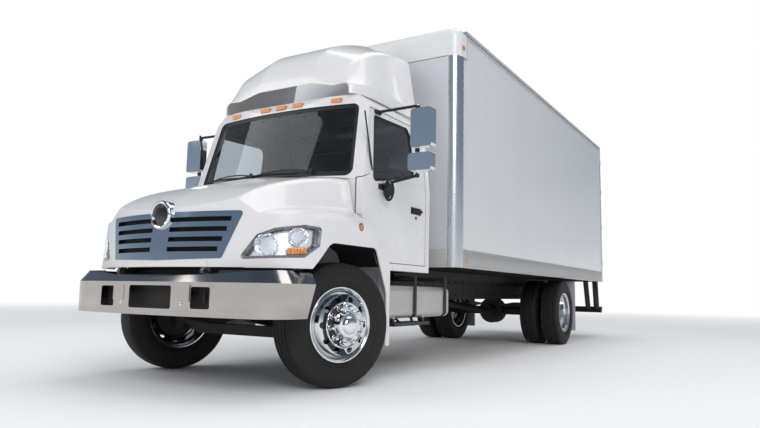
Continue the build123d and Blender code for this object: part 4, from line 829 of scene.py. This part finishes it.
# Doors: each has a black pull handle in a shallow cup, a key lock, and an inner panel with a map pocket
# and an arm rest.
door_skin_x, lining_x = 1.03, 0.968
lock_outline = [(-0.002, 0), (-0.002, 0.016), (0.004, 0.015), (0.005, 0.01), (0.004, 0)]
for side_name, side in sides:
    door = ray_target(f"door_{side_name}")

    def on_door(back, z):
        """A point on the door's skin."""
        hit = door.ray_cast(Vector((side * 1.6, axle_y + back, z)), Vector((-side, 0, 0)))[0]
        return hit if hit else Vector((side * door_skin_x, axle_y + back, z))

    bm = bmesh.new()
    middle = on_door(1.25, 1.568)
    add_block(bm, (middle.x - side * 0.004, middle.y - 0.105, middle.z - 0.034),
              (middle.x + side * 0.004, middle.y + 0.105, middle.z + 0.034), 0.0035, 3)
    add_block(bm, (middle.x + side * 0.012, middle.y - 0.092, middle.z - 0.012),
              (middle.x + side * 0.03, middle.y + 0.092, middle.z + 0.016), 0.007, 4)
    for end in (-0.08, 0.08):
        add_block(bm, (middle.x, middle.y + end - 0.014, middle.z - 0.014),
                  (middle.x + side * 0.026, middle.y + end + 0.014, middle.z + 0.018), 0.005, 3)
    add_lathe(bm, on_door(1.25, 1.5), (side, 0, 0), lock_outline, 20)
    add_piece(f"door_handle_{side_name}", bm, black_plastic, f"door_{side_name}")

    bm = bmesh.new()
    for (near, front, low), (far, back, high), bevel, segments in (
            ((0, 0.42, 1.2), (0.02, 1.38, 1.72), 0.012, 3),
            ((0.018, 0.75, 1.5), (0.062, 1.25, 1.56), 0.02, 4),
            ((0.018, 0.6, 1.22), (0.05, 1.1, 1.36), 0.014, 3)):
        add_block(bm, (side * (lining_x - near), axle_y + front, low),
                  (side * (lining_x - far), axle_y + back, high), bevel, segments)
    add_piece(f"door_trim_{side_name}", bm, black_plastic, f"door_{side_name}")

# Mirrors: two chromed heads on a black tube arm at each door, with flat and wide-angle glass facing back,
# and a small black mirror on a short stalk below the window.
paint_node(chrome, "mirror_left", "mirror_right")
mirror_glass = surface("mirror_glass", (0.75, 0.78, 0.8), (0.72, 0.75, 0.77), rough=0.03, spread=0.02,
                       metal=1.0, scale=3, depth=0.00001, dust=0.03)
arm_y, foot_y = axle_y + 0.62, axle_y + 0.58
arm_radius = 0.0135
heads = [(1.428, 2.053, 2.406, 0.212), (1.415, 1.84, 2.0, 0.23)]  # x, low z, high z, width
for side_name, side in sides:
    bm = bmesh.new()
    for x, low, high, width in heads:
        y = arm_y + 0.0455
        add_block(bm, (side * x - width / 2 + 0.008, y - 0.002, low + 0.008),
                  (side * x + width / 2 - 0.008, y + 0.012, high - 0.008), 0.006, 3)
    post_x = side * 1.372
    for z in (1.8, 2.03, 2.425):
        add_lathe(bm, (post_x, arm_y, z), (0, 0, 1),
                  [(-0.016, 0.012), (-0.016, 0.021), (0.016, 0.021), (0.016, 0.012)], 20)
    add_rod(bm, (post_x, arm_y, 2.44), (side * 0.978, foot_y, 2.4215), arm_radius, segments=14)
    add_rod(bm, (post_x, arm_y, 1.8), (side * 1.036, foot_y, 1.734), arm_radius, segments=14)
    add_block(bm, (side * 0.964, axle_y + 0.53, 2.4), (side * 0.992, axle_y + 0.63, 2.44), 0.01, 3)
    add_block(bm, (side * 1.026, axle_y + 0.52, 1.69), (side * 1.048, axle_y + 0.64, 1.74), 0.01, 3)
    pod = Matrix.Translation((side * 1.098, arm_y - 0.025, 1.68)) @ Matrix.Diagonal((0.054, 0.046, 0.1, 1))
    bmesh.ops.create_uvsphere(bm, u_segments=28, v_segments=16, radius=1, matrix=pod)
    bend = (side * 1.06, arm_y - 0.03, 1.79)
    add_rod(bm, (side * 1.098, arm_y - 0.024, 1.75), bend, 0.008)
    add_rod(bm, bend, (side * 1.02, arm_y - 0.03, 1.77), 0.008)
    add_piece(f"mirror_arms_{side_name}", bm, black_plastic, f"door_{side_name}")
    bm = bmesh.new()
    for x, low, high, width in heads:
        y = arm_y + 0.058
        add_block(bm, (side * x - width / 2 + 0.018, y - 0.001, low + 0.018),
                  (side * x + width / 2 - 0.018, y + 0.002, high - 0.018), 0.001)
    add_piece(f"mirror_glass_{side_name}", bm, mirror_glass, f"door_{side_name}")

# Cabin: a moulded dashboard with its steering wheel, and a driver's seat beside a two-place bench in
# woven cloth, each a foam cushion and a squab over a plain box.
dash_plastic = surface("dash_plastic", (0.014, 0.0145, 0.016), (0.022, 0.0225, 0.025), rough=0.6, spread=0.15,
                       specular=0.3, scale=220, depth=0.0004, dust=0)
paint_node(dash_plastic, "dashboard")
seat_cloth, tree = new_material("seat_cloth")
place = add_node(tree, "TexCoord")
warp, weft = (add_node(tree, "TexWave", {"Vector": place["Object"], "Scale": 160}, bands_direction=bands)
              for bands in ("X", "Z"))
cross = add_node(tree, "Math", {0: warp["Fac"], 1: weft["Fac"]}, operation="MULTIPLY")
shade = blend_colours(tree, cross[0], (0.02, 0.021, 0.024), (0.05, 0.051, 0.056))
bump = add_node(tree, "Bump", {"Height": cross[0], "Strength": 0.6, "Distance": 0.0006})
add_shader(tree, {"Base Color": shade, "Roughness": 0.9, "Sheen Weight": 0.4, "Sheen Roughness": 0.4,
                  "Normal": bump[0]})


def cushion(bm, low, high, crown_axis, crown):
    """A rounded pad between two corners, its face crowned."""
    low, high = Vector(low), Vector(high)
    middle, size = (low + high) / 2, high - low
    count = len(bm.verts)
    place = Matrix.Translation(middle) @ Matrix.Diagonal((*size, 1))
    cube = bmesh.ops.create_cube(bm, size=1, matrix=place)["verts"]
    edges = list({e for v in cube for e in v.link_edges})
    bmesh.ops.subdivide_edges(bm, edges=edges, cuts=7, use_grid_fill=True)
    for v in list(bm.verts)[count:]:
        offsets = [(v.co[i] - middle[i]) / (size[i] / 2) for i in range(3)]
        others = [i for i in range(3) if i != crown_axis]
        fall = (1 - offsets[others[0]] ** 4) * (1 - offsets[others[1]] ** 4)
        for i in others:
            pull = 0.03 * abs(offsets[crown_axis]) ** 3
            v.co[i] = middle[i] + (v.co[i] - middle[i]) * (1 - pull)
        way = 1 if offsets[crown_axis] > 0 else -1
        v.co[crown_axis] += crown * (fall - 1) * way * abs(offsets[crown_axis])


seat_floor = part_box("seats")[0].z
bm = bmesh.new()
for middle, width in ((0.48, 0.25), (-0.54, 0.19), (-0.16, 0.19)):
    side_gap = width - 0.004
    cushion(bm, (middle - side_gap, axle_y + 0.845, seat_floor + 0.3),
            (middle + side_gap, axle_y + 1.32, seat_floor + 0.43), 2, 0.03)
    cushion(bm, (middle - side_gap, axle_y + 1.33, seat_floor + 0.38),
            (middle + side_gap, axle_y + 1.45, seat_floor + 0.98), 1, 0.02)
    cushion(bm, (middle - 0.12, axle_y + 1.36, seat_floor + 0.99),
            (middle + 0.12, axle_y + 1.45, seat_floor + 1.01), 1, 0.004)
seat_pads = add_piece("seat_pads", bm, seat_cloth, "chassis", smooth=70)
finer = seat_pads.modifiers.new("crown", "SUBSURF")
finer.levels = finer.render_levels = 1
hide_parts("seats")
bm = bmesh.new()
for x, half in ((0.48, 0.2), (-0.35, 0.33)):
    add_block(bm, (x - half, axle_y + 0.88, seat_floor), (x + half, axle_y + 1.33, seat_floor + 0.295),
              0.02, 3)
add_piece("seat_boxes", bm, black_plastic, "chassis")

# Wing markers: a round amber lens in a pale ring on each side of the bonnet, just ahead of the cab.
bonnet = ray_target("hood_shell")
marker_y, marker_z = axle_y + 0.072, 1.295
ring_profile = [(-0.004, 0.02), (-0.004, 0.034), (0.003, 0.033), (0.005, 0.029), (0.003, 0.025)]
lens_profile = [(-0.002, 0), (-0.002, 0.026), (0.004, 0.024), (0.009, 0.016), (0.011, 0.008), (0.0115, 0)]
for piece_name, profile, finish, slot in (("wing_marker_rings", ring_profile, bezel_grey, "black_plastic"),
                                          ("wing_marker_lenses", lens_profile, amber_plastic, "amber_lens")):
    bm = bmesh.new()
    for side in (-1, 1):
        spot, normal = bonnet.ray_cast(Vector((side * 1.6, marker_y, marker_z)), Vector((-side, 0, 0)))[:2]
        spot = spot if spot else Vector((side * 1.15, marker_y, marker_z))
        add_lathe(bm, spot, normal if normal else (side, 0, 0), profile, 28)
    add_piece(piece_name, bm, finish, "hood")

# Load body panels: white gel-coated sheets on the sides, a moulded white cap over the front corners and
# roof, and a front wall between bright posts.
panel_white = surface("panel_white", (0.76, 0.75, 0.755), (0.69, 0.685, 0.7), rough=0.2, spread=0.06,
                      coat=0.8, scale=1.4, stretch=(1, 1, 0.04), depth=0.0012, dust=0.2, dust_top=2.2)
cap_white = surface("cap_white", (0.8, 0.8, 0.805), (0.75, 0.75, 0.76), rough=0.32, coat=0.5, scale=3,
                    depth=0.0001, dust=0.1, dust_top=4.5)
# The front wall's white is painted greyer and bluer than the side panels, as painted shade.
front_wall_shaded = surface("front_wall_painted_shade", (0.66, 0.67, 0.72), (0.6, 0.61, 0.66), rough=0.35, coat=0.3,
                      scale=2, stretch=(1, 1, 0.1), depth=0.0003, dust=0.25, dust_top=2.2)
paint_node(panel_white, "load_side_walls")
paint_node(cap_white, "load_roof")
paint_node(front_wall_shaded, "load_front_wall")

# Rails and posts: extruded aluminium. The lower rail carries shallow ribs all along and round the front,
# the upper rail a dark groove, and both are riveted to the panels.
rail_low, rail_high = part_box("load_rails")
cap_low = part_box("load_roof")[0]
load_front, load_rear = cap_low.y, rail_high.y
extrusion = surface("extruded_aluminium", (0.74, 0.75, 0.77), (0.66, 0.67, 0.69), rough=0.26, spread=0.08,
                    metal=1.0, scale=4, stretch=(1, 0.1, 0.3), depth=0.00001, dust=0.08, dust_top=2.0)
rail_grey = surface("rail_aluminium", (0.58, 0.57, 0.56), (0.46, 0.455, 0.45), rough=0.4, spread=0.14,
                    metal=0.5, scale=60, stretch=(1, 0.02, 1), depth=0.00015, dust=0.35, dust_top=2.4)
second_finish(extrusion, [("Z", "GREATER_THAN", cap_low.z), ("Y", "GREATER_THAN", load_front + 0.24)],
              "MINIMUM", (0.58, 0.58, 0.6), 0.25)
paint_node(extrusion, "load_rails", "rear_frame")
outer = rail_high.x
band_low, band_high = rail_low.z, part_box("load_side_walls")[0].z
post_inner = outer - 0.118
rib_count, rib_half = 9, 0.0035
ribs = [band_low + 0.016 + (band_high - band_low - 0.032) * number / (rib_count - 1)
        for number in range(rib_count)]
bm = bmesh.new()
for side in (-1, 1):
    add_block(bm, (side * (outer - 0.001), load_front + 0.152, band_low + 0.004),
              (side * (outer + 0.0015), load_rear - 0.004, band_high - 0.002), 0.0005, 1)
    for z in ribs:
        add_block(bm, (side * outer, load_front + 0.153, z - rib_half),
                  (side * (outer + 0.005), load_rear - 0.005, z + rib_half), 0.0015, 1)
add_block(bm, (-post_inner + 0.001, load_front - 0.002, band_low + 0.004),
          (post_inner - 0.001, load_front + 0.001, band_high), 0.0005, 1)
for z in ribs:
    add_block(bm, (-post_inner + 0.002, load_front - 0.006, z - rib_half),
              (post_inner - 0.002, load_front, z + rib_half), 0.0015, 1)
add_piece("lower_rail_ribs", bm, rail_grey, "chassis", smooth=50)

bm = bmesh.new()
rivet_profile = [(0, 0.0065), (0.0015, 0.006), (0.003, 0.0035), (0.0035, 0)]
rivet_pitch = 0.1
rivet_count = int((load_rear - load_front - 0.32) / rivet_pitch)
for side in (-1, 1):
    for number in range(rivet_count):
        y = load_front + 0.25 + rivet_pitch * number
        for x, z in ((outer + 0.0015, band_high - 0.007), (outer, rail_high.z - 0.078)):
            add_lathe(bm, (side * x, y, z), (side, 0, 0), rivet_profile, 6)
    for number in range(22):
        z = band_high + 0.05 + rivet_pitch * number * 0.95
        add_lathe(bm, (side * outer, load_front + 0.138, z), (side, 0, 0), rivet_profile, 6)
        add_lathe(bm, (side * (post_inner + 0.01), load_front, z), (0, -1, 0), rivet_profile, 6)
add_piece("body_rivets", bm, extrusion, "chassis", smooth=60)

seam_bevel = 0.0004
bm = bmesh.new()
for side in (-1, 1):
    for depth, (front, low), (back, high) in (
            (0.0012, (load_front + 0.24, rail_high.z - 0.052), (load_rear - 0.002, rail_high.z - 0.042)),
            (0.0008, (load_front + 0.232, cap_low.z), (load_front + 0.239, rail_high.z - 0.11)),
            (0.0008, (load_front + 0.11, cap_low.z - 0.004), (load_front + 0.236, cap_low.z + 0.003))):
        add_block(bm, (side * (outer - 0.002), front, low), (side * (outer + depth), back, high),
                  seam_bevel, 1)
add_block(bm, (-outer + 0.12, load_front - 0.001, cap_low.z - 0.004),
          (outer - 0.12, load_front + 0.004, cap_low.z + 0.003), seam_bevel, 1)
add_piece("body_seams", bm, seal_rubber, "chassis")

# Load floor: hardwood boards on steel cross members, which show from below.
boards, tree = new_material("deck_boards")
board_half, half_gap = 0.06, 0.002
place = add_node(tree, "TexCoord")
apart = add_node(tree, "SeparateXYZ", {0: place["Object"]})
fibres = add_node(tree, "Group", {"Scale": 30, "Stretch": (1, 0.05, 1)}, node_tree=grain)
board = add_node(tree, "Math", {0: apart["X"], 1: board_half}, operation="PINGPONG")
gap = add_node(tree, "Math", {0: board[0], 1: half_gap}, operation="LESS_THAN")
below = add_node(tree, "Math", {0: apart["Z"], 1: band_low + 0.099}, operation="LESS_THAN")
wood = blend_colours(tree, fibres[0], (0.25, 0.15, 0.08), (0.4, 0.27, 0.15))
with_gaps = blend_colours(tree, gap[0], wood, (0.04, 0.03, 0.02))
with_steel = blend_colours(tree, below[0], with_gaps, (0.02, 0.02, 0.021))
add_shader(tree, {"Base Color": with_steel, "Roughness": 0.7})
paint_node(boards, "load_floor")

# Rear doors: white insulated leaves with bright straps, lock rods and handles, sealed by rubber.
leaf_low, leaf_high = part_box("rear_door_left")
leaf_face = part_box("rear_frame")[0].y + 0.07
leaf_paint = surface("leaf_white", (0.82, 0.825, 0.84), (0.76, 0.765, 0.78), rough=0.3, coat=0.4, scale=2,
                     stretch=(1, 1, 0.1), depth=0.0008, dust=0.35, dust_top=2.8)
second_finish(leaf_paint, [("Y", "GREATER_THAN", leaf_face + 0.0005)], "MINIMUM", (0.7, 0.71, 0.73), 1)
paint_node(leaf_paint, "rear_door_left", "rear_door_right")
seal_inner, seal_outer = 0.007, leaf_high.x - 0.096
for side_name, side in sides:
    bm = bmesh.new()
    for (inner, low), (outer_edge, high) in (
            ((seal_inner, leaf_low.z + 0.004), (seal_outer, leaf_low.z + 0.024)),
            ((seal_inner, leaf_high.z - 0.024), (seal_outer, leaf_high.z - 0.004)),
            ((seal_inner, leaf_low.z + 0.02), (seal_inner + 0.02, leaf_high.z - 0.02)),
            ((seal_outer - 0.02, leaf_low.z + 0.02), (seal_outer, leaf_high.z - 0.02))):
        add_block(bm, (side * inner, leaf_face, low), (side * outer_edge, leaf_face + 0.006, high), 0.002, 1)
    add_piece(f"leaf_gasket_{side_name}", bm, seal_rubber, f"rear_door_{side_name}")

# Lamps: amber markers ahead, red ones at the tail, moulded with fine prisms.
lamp_plastic, tree = new_material("lamp_plastic")
place = add_node(tree, "TexCoord")
apart = add_node(tree, "SeparateXYZ", {0: place["Object"]})
at_tail = add_node(tree, "Math", {0: apart["Y"], 1: load_rear}, operation="GREATER_THAN")
prisms = add_node(tree, "TexWave", {"Vector": place["Object"], "Scale": 60}, bands_direction="Z")
amber = blend_colours(tree, prisms["Fac"], (0.6, 0.17, 0.02), (0.8, 0.3, 0.06))
bump = add_node(tree, "Bump", {"Height": prisms["Fac"], "Strength": 0.6, "Distance": 0.001})
add_shader(tree, {"Base Color": blend_colours(tree, at_tail[0], amber, (0.45, 0.012, 0.01)), "Roughness": 0.2,
                  "Coat Weight": 0.5, "Coat Roughness": 0.05, "Normal": bump[0]})
paint_node(lamp_plastic, "lamps")

# Fuel tank: a boxed aluminium tank on the left rail, held by two black straps, with a filler cap and a
# black rung step in front of it.
tank_grey = surface("tank_aluminium", (0.6, 0.59, 0.57), (0.5, 0.49, 0.47), rough=0.42, spread=0.12,
                    metal=0.55, scale=30, stretch=(1, 0.2, 1), depth=0.0003, dust=0.5, dust_top=1.6)
second_finish(tank_grey, [("Z", "GREATER_THAN", 0.8285), ("Z", "LESS_THAN", 0.5215),
                          ("X", "GREATER_THAN", 1.0505)], "MAXIMUM", (0.015, 0.015, 0.016), 0)
paint_node(tank_grey, "fuel_tank")
tank_low, tank_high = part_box("fuel_tank")
tank = ray_target("fuel_tank")
strap_thickness, across_strap = 0.003, Vector((0, 0.024, 0))
bm = bmesh.new()
for y in (axle_y + 1.2, axle_y + 1.87):
    core = Vector(((tank_low.x + tank_high.x) / 2, y, (tank_low.z + 0.86) / 2))
    stops = []
    for step in range(25):
        turn_angle = math.radians(-60 + 200 * step / 24)
        away = Vector((math.cos(turn_angle), 0, math.sin(turn_angle)))
        hit = tank.ray_cast(core + away * 0.8, -away)[0]
        if hit:
            stops.append(hit + away * strap_thickness)
    for a, b in zip(stops, stops[1:]):
        thick = (b - a).cross(Vector((0, 1, 0))).normalized() * strap_thickness
        corners = [bm.verts.new(p + s + t)
                   for p in (a, b) for s in (-across_strap, across_strap) for t in (-thick, thick)]
        bmesh.ops.convex_hull(bm, input=corners)
cap_outline = [(-0.004, 0), (-0.004, 0.05), (0.03, 0.05), (0.034, 0.058), (0.05, 0.056), (0.056, 0.04),
               (0.057, 0)]
add_lathe(bm, (0.93, axle_y + 1.5, 0.826), (0.25, 0, 1), cap_outline, 28)
add_piece("tank_straps", bm, black_plastic, "chassis", smooth=50)

# Step hangers: pressed black channels that carry the rear step under the body's corners.
bm = bmesh.new()
for side in (-1, 1):
    for x, top, foot in ((1.1, -0.06, 0.05), (0.95, -0.14, 0.03)):
        add_rod(bm, (side * x, load_rear + top, band_low - 0.004), (side * x, load_rear + foot, 0.52), 0.048,
                segments=4)
add_piece("step_hangers", bm, black_plastic, "chassis")

# Arch liners, splash shields and flaps: black polyethylene, with pale flaps behind the drive wheels.
liner_black = surface("liner_black", (0.012, 0.012, 0.013), (0.022, 0.022, 0.022), rough=0.7, spread=0.15,
                      scale=70, depth=0.0006, dust=0.12, dust_top=1.4, specular=0.2)
flap_grey = surface("flap_white", (0.55, 0.56, 0.62), (0.46, 0.47, 0.52), rough=0.55, spread=0.15, scale=9,
                    depth=0.0006, dust=0.6, dust_top=1.2)
paint_node(liner_black, "arch_liners", "cab_arch_liners", "radiator")
paint_node(flap_grey, "mud_flaps")
